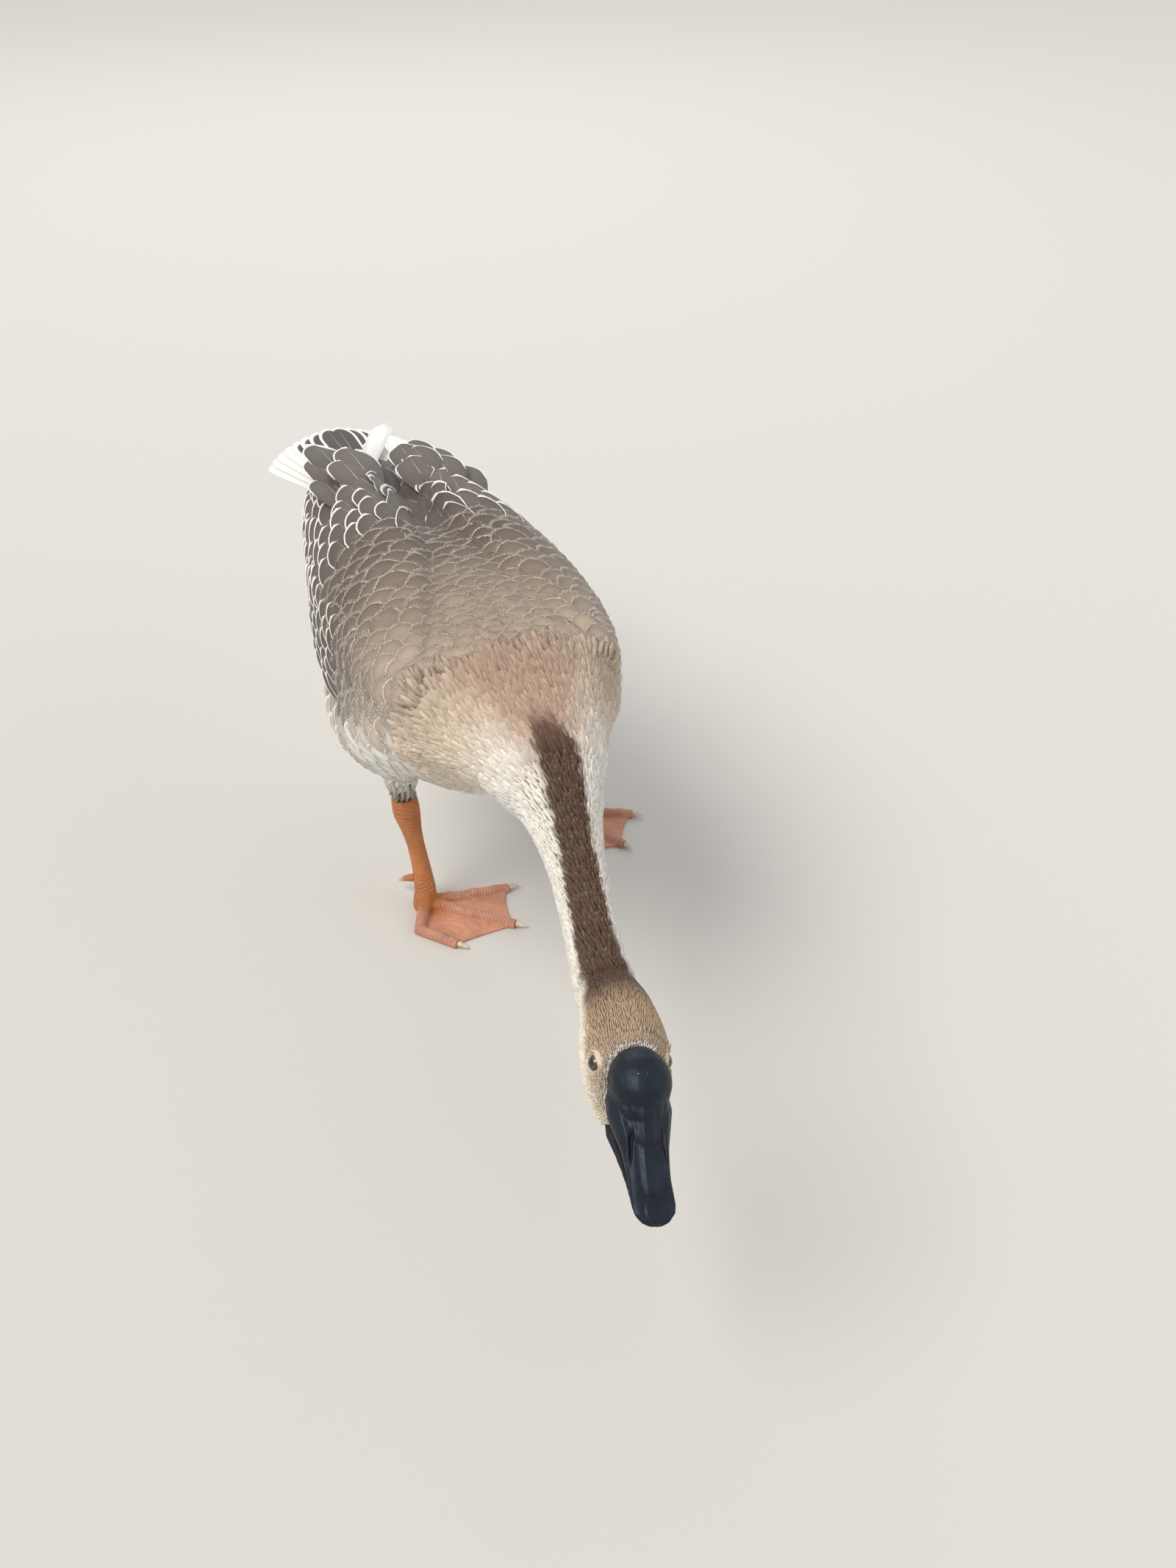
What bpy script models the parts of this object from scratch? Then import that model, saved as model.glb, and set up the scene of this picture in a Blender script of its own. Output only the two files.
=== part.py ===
"""A domestic goose at life size, walking with its neck stretched out low.

Metres, +Z up. The goose faces -Y and its left side is at +X. The floor is z = 0, and the origin is under
the middle of the goose's box. Trunk and neck are one row of rings parted by thin cuts. The head, bill,
wings, tail, legs and feet are built on them, and are cut back by a thin gap where they meet.
"""

import math

import bmesh
import bpy
import numpy as np
from mathutils import Matrix, Vector

# ---- driving dimensions ------------------------------------------------------------------------
GAP = 0.0004  # between neighbouring solids
ORIGIN_X, ORIGIN_Y = 0.0530, -0.0838  # where the box's middle lies in the drawing of the goose

# Outline of the body with its feathers: y, x of its middle, top, bottom, half width, and how its lower
# half narrows, where 1 is an oval and more is a keel
BODY_OUTLINE = np.array(
    [
        (-0.470, -0.042, 0.276, 0.232, 0.0215, 0.94),
        (-0.440, -0.038, 0.277, 0.236, 0.0190, 0.94),
        (-0.400, -0.029, 0.281, 0.242, 0.0182, 0.94),
        (-0.350, -0.017, 0.290, 0.249, 0.0195, 0.94),
        (-0.310, -0.008, 0.300, 0.251, 0.0240, 1.00),
        (-0.275, -0.001, 0.313, 0.251, 0.0325, 1.06),
        (-0.235, 0.002, 0.325, 0.249, 0.0490, 1.16),
        (-0.200, 0.003, 0.333, 0.239, 0.0680, 1.26),
        (-0.165, 0.004, 0.340, 0.218, 0.0850, 1.30),
        (-0.120, 0.006, 0.346, 0.190, 0.0960, 1.30),
        (-0.070, 0.008, 0.350, 0.164, 0.0990, 1.24),
        (-0.010, 0.0095, 0.352, 0.144, 0.0970, 1.14),
        (0.060, 0.010, 0.350, 0.139, 0.0860, 1.06),
        (0.120, 0.011, 0.344, 0.147, 0.0730, 1.00),
        (0.180, 0.009, 0.333, 0.167, 0.0580, 0.96),
        (0.240, 0.009, 0.317, 0.197, 0.0450, 0.94),
        (0.290, 0.012, 0.303, 0.228, 0.0345, 0.94),
        (0.330, 0.016, 0.292, 0.254, 0.0250, 0.94),
    ]
)
UPPER_ROUNDNESS = 0.84
NECK_START, NECK_MIDDLE, BREAST_START, TRUNK_START, TRUNK_END = -0.456, -0.352, -0.262, -0.120, 0.330
BODY_AROUND, BODY_STEP, NECK_STEP = 28, 0.026, 0.015

# The head's own axes start midway between the eyes: ahead along the bill, left, up
HEAD_AT = Vector((-0.0490, -0.5050, 0.2530))
HEAD_TURN, HEAD_DROP, HEAD_ROLL = math.radians(12.2), math.radians(9.0), math.radians(9.0)
# Ahead, half width, top, bottom
HEAD_OUTLINE = np.array(
    [
        (-0.034, 0.0218, 0.0262, -0.0245),
        (-0.018, 0.0252, 0.0282, -0.0275),
        (-0.002, 0.0268, 0.0285, -0.0290),
        (0.010, 0.0270, 0.0240, -0.0290),
        (0.020, 0.0260, 0.0130, -0.0278),
        (0.030, 0.0232, -0.0020, -0.0256),
        (0.038, 0.0200, -0.0095, -0.0235),
        (0.044, 0.0150, -0.0135, -0.0212),
    ]
)
UPPER_BILL = np.array(
    [
        (0.018, 0.0130, 0.0120, -0.0110),
        (0.026, 0.0168, 0.0125, -0.0120),
        (0.034, 0.0196, 0.0130, -0.0128),
        (0.043, 0.0196, 0.0118, -0.0132),
        (0.055, 0.0166, 0.0080, -0.0138),
        (0.069, 0.0138, 0.0002, -0.0146),
        (0.084, 0.0130, -0.0062, -0.0154),
        (0.097, 0.0134, -0.0095, -0.0164),
        (0.103, 0.0124, -0.0114, -0.0171),
        (0.106, 0.0098, -0.0132, -0.0178),
        (0.1085, 0.0046, -0.0152, -0.0183),
    ]
)
LOWER_BILL = np.array(
    [
        (0.030, 0.0160, -0.0140, -0.0222),
        (0.044, 0.0172, -0.0142, -0.0230),
        (0.060, 0.0140, -0.0149, -0.0222),
        (0.080, 0.0116, -0.0160, -0.0214),
        (0.096, 0.0108, -0.0172, -0.0212),
        (0.103, 0.0066, -0.0184, -0.0210),
    ]
)
HEAD_COUNT, BILL_AROUND, UPPER_COUNT, LOWER_COUNT = 11, 20, 12, 9
HEAD_ROUNDNESS, BILL_ROUNDNESS = (1.08, 0.72), (0.90, 0.90)
BILL_CROWDING = 1.6  # rings closer together towards the bill's round tip
KNOB_AHEAD, KNOB_UP, KNOB_RADII = 0.0292, 0.0125, (0.0219, 0.0190, 0.0182)
KNOB_FACETS, EYE_FACETS = (10, 18), (8, 12)  # rows from pole to pole, and points around
EYE_RADIUS, EYE_AHEAD, EYE_OUT, EYE_UP = 0.0064, 0.0080, 0.0190, 0.0040

# Folded wing: y, degrees from the side to its upper edge, the same to its lower edge, thickness
WING_OUTLINE = np.array(
    [
        (-0.165, 44.0, 22.0, 0.0030),
        (-0.120, 60.0, 10.0, 0.0090),
        (-0.060, 72.0, 3.0, 0.0140),
        (0.000, 80.0, -3.0, 0.0165),
        (0.080, 84.0, -10.0, 0.0180),
        (0.160, 85.0, -10.0, 0.0185),
        (0.230, 85.0, -2.0, 0.0175),
        (0.270, 84.0, 6.0, 0.0150),
    ]
)
# Flank feathers below the wing, in the same terms
FLANK_OUTLINE = np.array(
    [
        (-0.135, 11.0, -22.0, 0.0030),
        (-0.100, 6.5, -42.0, 0.0100),
        (-0.060, 2.0, -52.0, 0.0165),
        (-0.010, -3.0, -55.0, 0.0190),
        (0.050, -8.6, -53.0, 0.0170),
        (0.110, -11.4, -46.0, 0.0120),
        (0.170, -10.8, -32.0, 0.0040),
    ]
)
PLATE_GAP, PLATE_EDGE, PLATE_ROOM_TURN = 0.0016, 0.0012, 0.3
PLATE_ACROSS, WING_ALONG, FLANK_ALONG = 9, 16, 10
TIP_ALONG, TIP_AROUND, TAIL_ALONG, TAIL_AROUND = 8, 12, 9, 18
# Folded flight feathers, which cross over the rump: y, x, height, half width, half thickness
WING_TIPS = {
    "right": np.array(
        [
            (0.2705, -0.006, 0.3090, 0.026, 0.0095),
            (0.310, 0.012, 0.3090, 0.023, 0.0070),
            (0.345, 0.040, 0.3070, 0.017, 0.0045),
            (0.376, 0.067, 0.3030, 0.008, 0.0020),
        ]
    ),
    "left": np.array(
        [
            (0.2705, 0.042, 0.3030, 0.026, 0.0095),
            (0.310, 0.024, 0.2995, 0.022, 0.0070),
            (0.342, 0.001, 0.2955, 0.016, 0.0040),
            (0.374, -0.020, 0.2915, 0.006, 0.0018),
        ]
    ),
}
# Tail fan: y, x, half width, top, bottom
TAIL_OUTLINE = np.array(
    [
        (0.250, 0.011, 0.030, 0.2920, 0.2460),
        (0.290, 0.016, 0.034, 0.2880, 0.2520),
        (0.330, 0.022, 0.037, 0.2850, 0.2620),
        (0.380, 0.030, 0.038, 0.2835, 0.2720),
        (0.418, 0.033, 0.037, 0.2845, 0.2790),
        (0.441, 0.035, 0.028, 0.2855, 0.2820),
    ]
)

# Legs as level rings: height, x, y, radius. The feathered thigh ends where the bare shank starts.
LEGS = {
    "right": {
        "side": -1,
        "thigh": [
            (0.205, -0.036, 0.004, 0.022),
            (0.165, -0.037, 0.009, 0.022),
            (0.130, -0.038, 0.016, 0.0175),
            (0.108, -0.035, 0.021, 0.0125),
        ],
        "shank": [
            (0.0175, -0.0266, -0.0004, 0.0096),
            (0.030, -0.0270, 0.0020, 0.0084),
            (0.060, -0.0297, 0.0097, 0.0072),
            (0.085, -0.033, 0.017, 0.0090),
            (0.098, -0.0345, 0.0205, 0.0106),
            (0.1075, -0.035, 0.021, 0.0100),
        ],
        "foot": (-0.027, 0.000),
        "toes_turn": math.radians(48.0),
    },
    "left": {
        "side": 1,
        "thigh": [
            (0.205, 0.040, 0.045, 0.022),
            (0.165, 0.048, 0.056, 0.024),
            (0.140, 0.066, 0.072, 0.022),
            (0.122, 0.090, 0.087, 0.016),
            (0.108, 0.109, 0.099, 0.0125),
        ],
        "shank": [
            (0.0175, 0.132, 0.0937, 0.0096),
            (0.030, 0.130, 0.0943, 0.0084),
            (0.060, 0.122, 0.0977, 0.0072),
            (0.085, 0.115, 0.101, 0.0090),
            (0.098, 0.111, 0.101, 0.0106),
            (0.1075, 0.109, 0.099, 0.0100),
        ],
        "foot": (0.132, 0.094),
        "toes_turn": math.radians(29.0),
    },
}
# Toes without their claws: degrees from the middle toe towards the goose's midline and reach from the heel, of
# each joint on the way to the tip. The right foot's outer toe is bent at its first joint.
TOES = {"inner": [(38.0, 0.077)], "middle": [(0.0, 0.087)], "outer": [(-36.0, 0.077)]}
BENT_TOES = {("right", "outer"): [(-74.0, 0.039), (-41.0, 0.0665)]}
STRAIGHT_TOE_JOINT = 0.35  # share of a straight toe's length
TOE_RADII = (0.0066, 0.0055, 0.0046)
TOE_HEIGHTS = (0.0060, 0.0040, 0.0030)
THIGH_FACETS, SHANK_FACETS = (6, 14), (7, 12)  # rings, and points around
HEEL_AROUND, TOE_AROUND, CLAW_AROUND, HIND_TOE_AROUND = 18, 12, 8, 10
HEEL_RINGS = ((-0.004, 0.0105), (0.004, 0.0118), (0.012, 0.0108), (0.0170, 0.0100))
WEB_THICKNESS, WEB_SHORTER, WEB_DIP = 0.0026, 0.0020, 0.10
WEB_EDGE_POINTS = 9
CLAW_LENGTH, CLAW_RADIUS, CLAW_DROP = 0.0095, 0.0030, Vector((0, 0, -0.0008))
HIND_TOE_RADIUS, HIND_TOE_TURN = 0.0036, 205.0  # degrees from the middle toe, away from the midline
HIND_TOE_OUT, HIND_TOE_HEIGHT = 0.0122, 0.0265
HIND_TOE_LENGTH, HIND_TOE_DROP = 0.017, Vector((0, 0, -0.0105))

COLOURS = {
    "brown": ((0.16, 0.13, 0.11), 0.8),
    "cream": ((0.75, 0.68, 0.60), 0.8),
    "white": ((0.85, 0.84, 0.80), 0.8),
    "black": ((0.018, 0.020, 0.024), 0.35),
    "eye": ((0.05, 0.02, 0.01), 0.08),
    "orange": ((0.75, 0.28, 0.10), 0.6),
    "horn": ((0.60, 0.50, 0.38), 0.45),
}


# ---- small tools -------------------------------------------------------------------------------
def clear_scene():
    for obj in list(bpy.data.objects):
        bpy.data.objects.remove(obj, do_unlink=True)


def material(name):
    found = bpy.data.materials.get(name)
    if found:
        return found
    colour, roughness = COLOURS[name]
    made = bpy.data.materials.new(name)
    made.use_nodes = True
    shader = made.node_tree.nodes["Principled BSDF"]
    shader.inputs["Base Color"].default_value = (*colour, 1.0)
    shader.inputs["Roughness"].default_value = roughness
    shader.inputs["Metallic"].default_value = 0.0
    return made


def read_outline(table, at, column):
    """One column of an outline at a place between its rows, by a cubic that adds no bulge."""
    x, y = table[:, 0], table[:, column]
    step = np.diff(x)
    slope = np.diff(y) / step
    tangent = np.concatenate([[slope[0]], np.zeros(len(x) - 2), [slope[-1]]])
    for i in range(1, len(x) - 1):
        if slope[i - 1] * slope[i] > 0:
            a, b = 2 * step[i] + step[i - 1], step[i] + 2 * step[i - 1]
            tangent[i] = (a + b) / (a / slope[i - 1] + b / slope[i])
    at = min(max(at, x[0]), x[-1])
    i = min(max(int(np.searchsorted(x, at)) - 1, 0), len(x) - 2)
    t = (at - x[i]) / step[i]
    value = y[i] * (1 + 2 * t) * (1 - t) ** 2 + y[i + 1] * t * t * (3 - 2 * t)
    value += tangent[i] * step[i] * t * (1 - t) ** 2 - tangent[i + 1] * step[i] * t * t * (1 - t)
    return float(value)


def outline_rows(table, count, crowding=1.0):
    """Rows along an outline, evenly placed, or closer towards its end with crowding above 1."""
    shares = 1 - (1 - np.linspace(0, 1, count)) ** crowding
    places = table[0, 0] + (table[-1, 0] - table[0, 0]) * shares
    return [[p, *(read_outline(table, p, c) for c in range(1, table.shape[1]))] for p in places]


def turns(count):
    return np.linspace(0, 2 * math.pi, count, endpoint=False)


def oval(angle, roundness):
    """A point on a unit oval, a circle at roundness 1 and squarer below it."""
    c, s = math.cos(angle), math.sin(angle)
    return math.copysign(abs(c) ** roundness, c), math.copysign(abs(s) ** roundness, s)


def add_solid(name, points, faces, colour, cutter=False):
    mesh = bpy.data.meshes.new(name)
    mesh.from_pydata([tuple(p) for p in points], [], faces)
    mesh.materials.append(material(colour))
    shell = bmesh.new()
    shell.from_mesh(mesh)
    bmesh.ops.recalc_face_normals(shell, faces=shell.faces)
    shell.to_mesh(mesh)
    shell.free()
    mesh.shade_smooth()
    obj = bpy.data.objects.new(name, mesh)
    bpy.context.scene.collection.objects.link(obj)
    if cutter:
        obj.hide_render = True
        obj.display_type = "WIRE"
    return obj


def loft(name, rings, colour, cutter=False):
    """A closed solid through rings of equally many points, with a flat cap at each end."""
    count = len(rings[0])
    points = [p for ring in rings for p in ring]
    faces = []
    for start in range(0, (len(rings) - 1) * count, count):
        for i in range(count):
            j = (i + 1) % count
            faces.append((start + i, start + j, start + count + j, start + count + i))
    for start in (0, (len(rings) - 1) * count):
        points.append(np.mean(np.asarray(points[start : start + count]), axis=0))
        faces += [(start + i, start + (i + 1) % count, len(points) - 1) for i in range(count)]
    return add_solid(name, points, faces, colour, cutter)


def combine(obj, operation, *others):
    for other in others:
        modifier = obj.modifiers.new(f"{operation.lower()}_{other.name}", "BOOLEAN")
        modifier.operation = operation
        modifier.solver = "EXACT"
        modifier.object = other


# ---- trunk and neck ----------------------------------------------------------------------------
def body_point(y, angle, grow=0.0):
    """A point on the body: angle 0 is its left side and 90 degrees its back."""
    x, top, bottom, half, lower_roundness = (read_outline(BODY_OUTLINE, y, c) for c in range(1, 6))
    across, up = oval(angle, UPPER_ROUNDNESS if math.sin(angle) > 0 else lower_roundness)
    tall = (top - bottom) / 2
    return np.array([x + (half + grow) * across, y, top - tall + (tall + grow) * up])


def body_ring(y, grow=0.0):
    return [body_point(y, a, grow) for a in turns(BODY_AROUND)]


def body_length(name, start, end, step, colour, grow=0.0, cutter=False):
    places = np.linspace(start, end, round((end - start) / step) + 1)
    return loft(name, [body_ring(y, grow) for y in places], colour, cutter)


def make_body():
    body_length("neck_upper", NECK_START, NECK_MIDDLE - GAP, NECK_STEP, "brown")
    body_length("neck_lower", NECK_MIDDLE, BREAST_START - GAP, NECK_STEP, "brown")
    body_length("breast", BREAST_START, TRUNK_START - GAP, BODY_STEP, "cream")
    body_length("trunk", TRUNK_START, TRUNK_END, BODY_STEP, "cream")
    return body_length("room_for_trunk", TRUNK_START, TRUNK_END + GAP, BODY_STEP, "cream", 2 * GAP, True)


# ---- head and bill -----------------------------------------------------------------------------
def head_axes():
    turn = Matrix.Rotation(-HEAD_TURN, 3, "Z")
    drop = Matrix.Rotation(HEAD_DROP, 3, "X")
    roll = Matrix.Rotation(HEAD_ROLL, 3, "Y")
    frame = turn @ drop @ roll
    return frame @ Vector((0, -1, 0)), frame @ Vector((1, 0, 0)), frame @ Vector((0, 0, 1))


def head_place(ahead, left, up):
    along, across, above = head_axes()
    return np.array(HEAD_AT + along * ahead + across * left + above * up)


def head_rings(table, count, around, roundness, grow=0.0, crowding=1.0):
    """Rings of the head or bill, with one roundness above their middle and one below."""
    rings = []
    for ahead, half, top, bottom in outline_rows(table, count, crowding):
        middle, tall = (top + bottom) / 2, (top - bottom) / 2
        ring = []
        for angle in turns(around):
            across, up = oval(angle, roundness[0] if math.sin(angle) > 0 else roundness[1])
            ring.append(head_place(ahead, (half + grow) * across, middle + (tall + grow) * up))
        rings.append(ring)
    return rings


def ball(name, ahead, left, up, radii, rows, around, colour, cutter=False):
    """An oval ball in the head's axes, its poles to the left and right."""
    rings = []
    for row in range(1, rows):
        polar = math.pi * row / rows
        side, wide = math.cos(polar), math.sin(polar)
        rings.append(
            [
                head_place(
                    ahead + radii[0] * wide * math.cos(a),
                    left + radii[1] * side,
                    up + radii[2] * wide * math.sin(a),
                )
                for a in turns(around)
            ]
        )
    return loft(name, rings, colour, cutter)


def make_head():
    rings = head_rings(HEAD_OUTLINE, HEAD_COUNT, BODY_AROUND, HEAD_ROUNDNESS)
    head = loft("head", [body_ring(NECK_START - GAP)] + rings, "brown")
    for name, side in (("left", 1), ("right", -1)):
        place = (EYE_AHEAD, side * EYE_OUT, EYE_UP)
        ball(f"eye_{name}", *place, [EYE_RADIUS] * 3, *EYE_FACETS, "eye")
        socket = ball(f"socket_{name}", *place, [EYE_RADIUS + GAP] * 3, *EYE_FACETS, "eye", True)
        combine(head, "DIFFERENCE", socket)
    return head


def make_bill(head):
    place = (KNOB_AHEAD, 0, KNOB_UP)
    ball("bill_knob", *place, KNOB_RADII, *KNOB_FACETS, "black")
    room_for_knob = ball("room_for_knob", *place, [r + GAP for r in KNOB_RADII], *KNOB_FACETS, "black", True)
    shape = (BILL_AROUND, BILL_ROUNDNESS)
    upper = loft("bill_upper", head_rings(UPPER_BILL, UPPER_COUNT, *shape, 0.0, BILL_CROWDING), "black")
    loft("bill_lower", head_rings(LOWER_BILL, LOWER_COUNT, *shape, 0.0, BILL_CROWDING), "black")
    combine(upper, "DIFFERENCE", room_for_knob)
    combine(head, "DIFFERENCE", room_for_knob)
    for name, table, count in (("upper", UPPER_BILL, UPPER_COUNT), ("lower", LOWER_BILL, LOWER_COUNT)):
        wider = table.copy()
        wider[0, 0] -= GAP
        rings = head_rings(wider, count, *shape, 2 * GAP, BILL_CROWDING)
        combine(head, "DIFFERENCE", loft(f"room_for_{name}_bill", rings, "black", True))


# ---- wings and tail ----------------------------------------------------------------------------
def plate_rings(table, count, side, room=0.0):
    """A curved plate on the body, or with room the space that it fills down to the body."""
    spread = room * PLATE_ROOM_TURN / GAP
    rings = []
    for y, high, low, thick in outline_rows(table, count):
        inner, outer = [], []
        for share in np.linspace(0, 1, PLATE_ACROSS):
            angle = math.radians(low - spread + (high - low + 2 * spread) * share)
            angle = angle if side > 0 else math.pi - angle
            swell = PLATE_EDGE + thick * math.sin(math.pi * (0.08 + 0.84 * share)) ** 0.55
            inner.append(body_point(y, angle, 0.0 if room else PLATE_GAP))
            outer.append(body_point(y, angle, PLATE_GAP + swell + room))
        rings.append(inner + outer[::-1])
    return rings


def flat_ring(x, y, z, half, thick, around):
    return [np.array([x + half * math.cos(a), y, z + thick * math.sin(a)]) for a in turns(around)]


def make_tail(room_for_trunk):
    rings, room = [], []
    for y, x, half, top, bottom in outline_rows(TAIL_OUTLINE, TAIL_ALONG):
        middle, tall = (top + bottom) / 2, (top - bottom) / 2
        rings.append(flat_ring(x, y, middle, half, tall, TAIL_AROUND))
        room.append(flat_ring(x, y, middle, half + GAP, tall + 2 * GAP, TAIL_AROUND))
    combine(loft("tail", rings, "white"), "DIFFERENCE", room_for_trunk)
    return loft("room_for_tail", room, "white", True)


def make_wings():
    """The wings and flanks. Returns the room that they leave for each thigh."""
    rooms = {}
    for name, side in (("left", 1), ("right", -1)):
        loft(f"wing_{name}", plate_rings(WING_OUTLINE, WING_ALONG, side), "brown")
        loft(f"flank_{name}", plate_rings(FLANK_OUTLINE, FLANK_ALONG, side), "cream")
        plates = (("wing", WING_OUTLINE, WING_ALONG), ("flank", FLANK_OUTLINE, FLANK_ALONG))
        rooms[name] = [
            loft(f"room_for_{plate}_{name}", plate_rings(table, count, side, 2 * GAP), "brown", True)
            for plate, table, count in plates
        ]
    return rooms


def make_wing_tips(room_for_trunk, room_for_tail):
    cutters = [room_for_trunk, room_for_tail]
    for name, table in WING_TIPS.items():
        rows = outline_rows(table, TIP_ALONG)
        rings = [flat_ring(x, y, z, half, thick, TIP_AROUND) for y, x, z, half, thick in rows]
        room = [flat_ring(x, y, z, half + GAP, thick + 2 * GAP, TIP_AROUND) for y, x, z, half, thick in rows]
        combine(loft(f"wing_tip_{name}", rings, "brown"), "DIFFERENCE", *cutters)
        cutters.append(loft(f"room_for_wing_tip_{name}", room, "brown", True))


# ---- legs and feet -----------------------------------------------------------------------------
def level_ring(x, y, z, radius, around):
    return [np.array([x + radius * math.cos(a), y + radius * math.sin(a), z]) for a in turns(around)]


def leg_rings(rows, count, around):
    table = np.array(sorted(rows))
    return [level_ring(x, y, z, radius, around) for z, x, y, radius in outline_rows(table, count)]


def tube(name, path, radii, colour, around, cutter=False):
    """A tube along a path that lies nearly level."""
    rings = []
    for i, (point, radius) in enumerate(zip(path, radii)):
        along = (path[min(i + 1, len(path) - 1)] - path[max(i - 1, 0)]).normalized()
        across = along.cross(Vector((0, 0, 1))).normalized()
        above = across.cross(along)
        ring = [point + radius * (across * math.cos(a) + above * math.sin(a)) for a in turns(around)]
        rings.append([np.array(p) for p in ring])
    return loft(name, rings, colour, cutter)


def toe_way(leg, degrees):
    """The level direction of a toe, its angle counted towards the goose's midline."""
    angle = leg["toes_turn"] - leg["side"] * math.radians(degrees)
    return Vector((math.sin(angle), -math.cos(angle), 0))


def toe_joints(name, toe):
    return BENT_TOES.get((name, toe), TOES[toe])


def make_web(name, leg, heel):
    """A sheet between the toes, its front edge curved back from toe to toe."""
    outline = [heel] + [heel + toe_way(leg, degrees) * reach for degrees, reach in toe_joints(name, "outer")[:-1]]
    for pair in (("outer", "middle"), ("middle", "inner")):
        first, last = (np.array(toe_joints(name, toe)[-1]) for toe in pair)
        for share in np.linspace(0, 1, WEB_EDGE_POINTS)[int(pair[0] == "middle") :]:
            degrees, reach = first + (last - first) * share
            reach = (reach - WEB_SHORTER) * (1 - WEB_DIP * math.sin(math.pi * share) ** 0.8)
            outline.append(heel + toe_way(leg, degrees) * reach)
    low, high = (Vector((0, 0, z)) for z in (HEEL_RINGS[0][0], WEB_THICKNESS))
    count = len(outline)
    points = [p + low for p in outline] + [p + high for p in outline]
    faces = [(0, i, i + 1) for i in range(1, count - 1)]
    faces += [(count, count + i, count + i + 1) for i in range(1, count - 1)]
    faces += [(i, (i + 1) % count, count + (i + 1) % count, count + i) for i in range(count)]
    return add_solid(f"web_{name}", points, faces, "orange", True)


def make_claw(name, start, way, radius):
    shares = (0.0, 0.35, 0.7, 1.0)
    path = [start + way * CLAW_LENGTH * s + CLAW_DROP * s * s for s in shares]
    tube(name, path, [radius * (1 - 0.72 * s**1.5) for s in shares], "horn", CLAW_AROUND)


def make_foot(name, leg, floor):
    heel = Vector((*leg["foot"], 0))
    rings = [level_ring(heel.x, heel.y, z, radius, HEEL_AROUND) for z, radius in HEEL_RINGS]
    foot = loft(f"foot_{name}", rings, "orange")
    combine(foot, "UNION", make_web(name, leg, heel))
    for toe in TOES:
        places = [heel] + [heel + toe_way(leg, degrees) * reach for degrees, reach in toe_joints(name, toe)]
        if len(places) == 2:
            places.insert(1, places[0].lerp(places[1], STRAIGHT_TOE_JOINT))
        path = [place + Vector((0, 0, z)) for place, z in zip(places, TOE_HEIGHTS)]
        combine(foot, "UNION", tube(f"toe_{toe}_{name}", path, TOE_RADII, "orange", TOE_AROUND, True))
        way = (places[-1] - places[-2]).normalized()
        start = places[-1] + way * GAP + Vector((0, 0, CLAW_RADIUS)) - CLAW_DROP * 1.3
        make_claw(f"claw_{toe}_{name}", start, way, CLAW_RADIUS)
    combine(foot, "DIFFERENCE", floor)


def make_hind_toe(name, leg):
    way = toe_way(leg, -HIND_TOE_TURN)
    start = Vector((*leg["foot"], HIND_TOE_HEIGHT)) + way * HIND_TOE_OUT
    run = way * HIND_TOE_LENGTH + HIND_TOE_DROP
    shares = (0.0, 0.5, 1.0)
    radii = [HIND_TOE_RADIUS * (1 - 0.25 * s) for s in shares]
    tube(f"hind_toe_{name}", [start + run * s for s in shares], radii, "orange", HIND_TOE_AROUND)
    make_claw(f"claw_hind_{name}", start + run + run.normalized() * GAP, run.normalized(), radii[-1])


def make_legs(room_for_trunk, room_for_plates):
    floor = loft("floor", [level_ring(0, 0, z, 0.6, 16) for z in (-0.05, 0.0)], "orange", True)
    for name, leg in LEGS.items():
        thigh = loft(f"thigh_{name}", leg_rings(leg["thigh"], *THIGH_FACETS), "cream")
        combine(thigh, "DIFFERENCE", room_for_trunk, *room_for_plates[name])
        loft(f"shank_{name}", leg_rings(leg["shank"], *SHANK_FACETS), "orange")
        make_foot(name, leg, floor)
        make_hind_toe(name, leg)


# ---- the whole goose ---------------------------------------------------------------------------
def centre_on_origin():
    for obj in bpy.data.objects:
        obj.data.transform(Matrix.Translation((-ORIGIN_X, -ORIGIN_Y, 0)))


def main():
    clear_scene()
    room_for_trunk = make_body()
    make_bill(make_head())
    room_for_tail = make_tail(room_for_trunk)
    make_wing_tips(room_for_trunk, room_for_tail)
    make_legs(room_for_trunk, make_wings())
    centre_on_origin()


main()
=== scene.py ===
# A domestic goose at life size, walking with its neck stretched out low: its looks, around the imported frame.
# Metres, +Z up. The goose faces -Y and its left side is at +X. Angles round the body run from the top of the
# back, 0, to the belly, 180 degrees, and are positive on the left side.

import math
import random
from itertools import product

import bmesh
import bpy
import numpy as np
from mathutils import Matrix, Vector
from mathutils.bvhtree import BVHTree


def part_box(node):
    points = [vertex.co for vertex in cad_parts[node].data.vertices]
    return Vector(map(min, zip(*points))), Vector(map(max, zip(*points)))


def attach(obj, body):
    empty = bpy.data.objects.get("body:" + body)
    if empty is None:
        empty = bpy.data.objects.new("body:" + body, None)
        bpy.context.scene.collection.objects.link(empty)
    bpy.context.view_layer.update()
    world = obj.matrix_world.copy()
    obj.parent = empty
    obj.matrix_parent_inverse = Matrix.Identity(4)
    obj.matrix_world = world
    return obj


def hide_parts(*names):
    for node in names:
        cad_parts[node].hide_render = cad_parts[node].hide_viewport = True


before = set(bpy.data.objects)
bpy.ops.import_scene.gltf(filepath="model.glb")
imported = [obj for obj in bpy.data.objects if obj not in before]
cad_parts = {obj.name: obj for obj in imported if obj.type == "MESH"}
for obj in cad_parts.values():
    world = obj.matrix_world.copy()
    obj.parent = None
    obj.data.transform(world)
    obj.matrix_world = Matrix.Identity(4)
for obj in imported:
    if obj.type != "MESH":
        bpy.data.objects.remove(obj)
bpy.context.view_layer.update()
bodyName = "root"
sides = {"left": 1, "right": -1}


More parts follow.
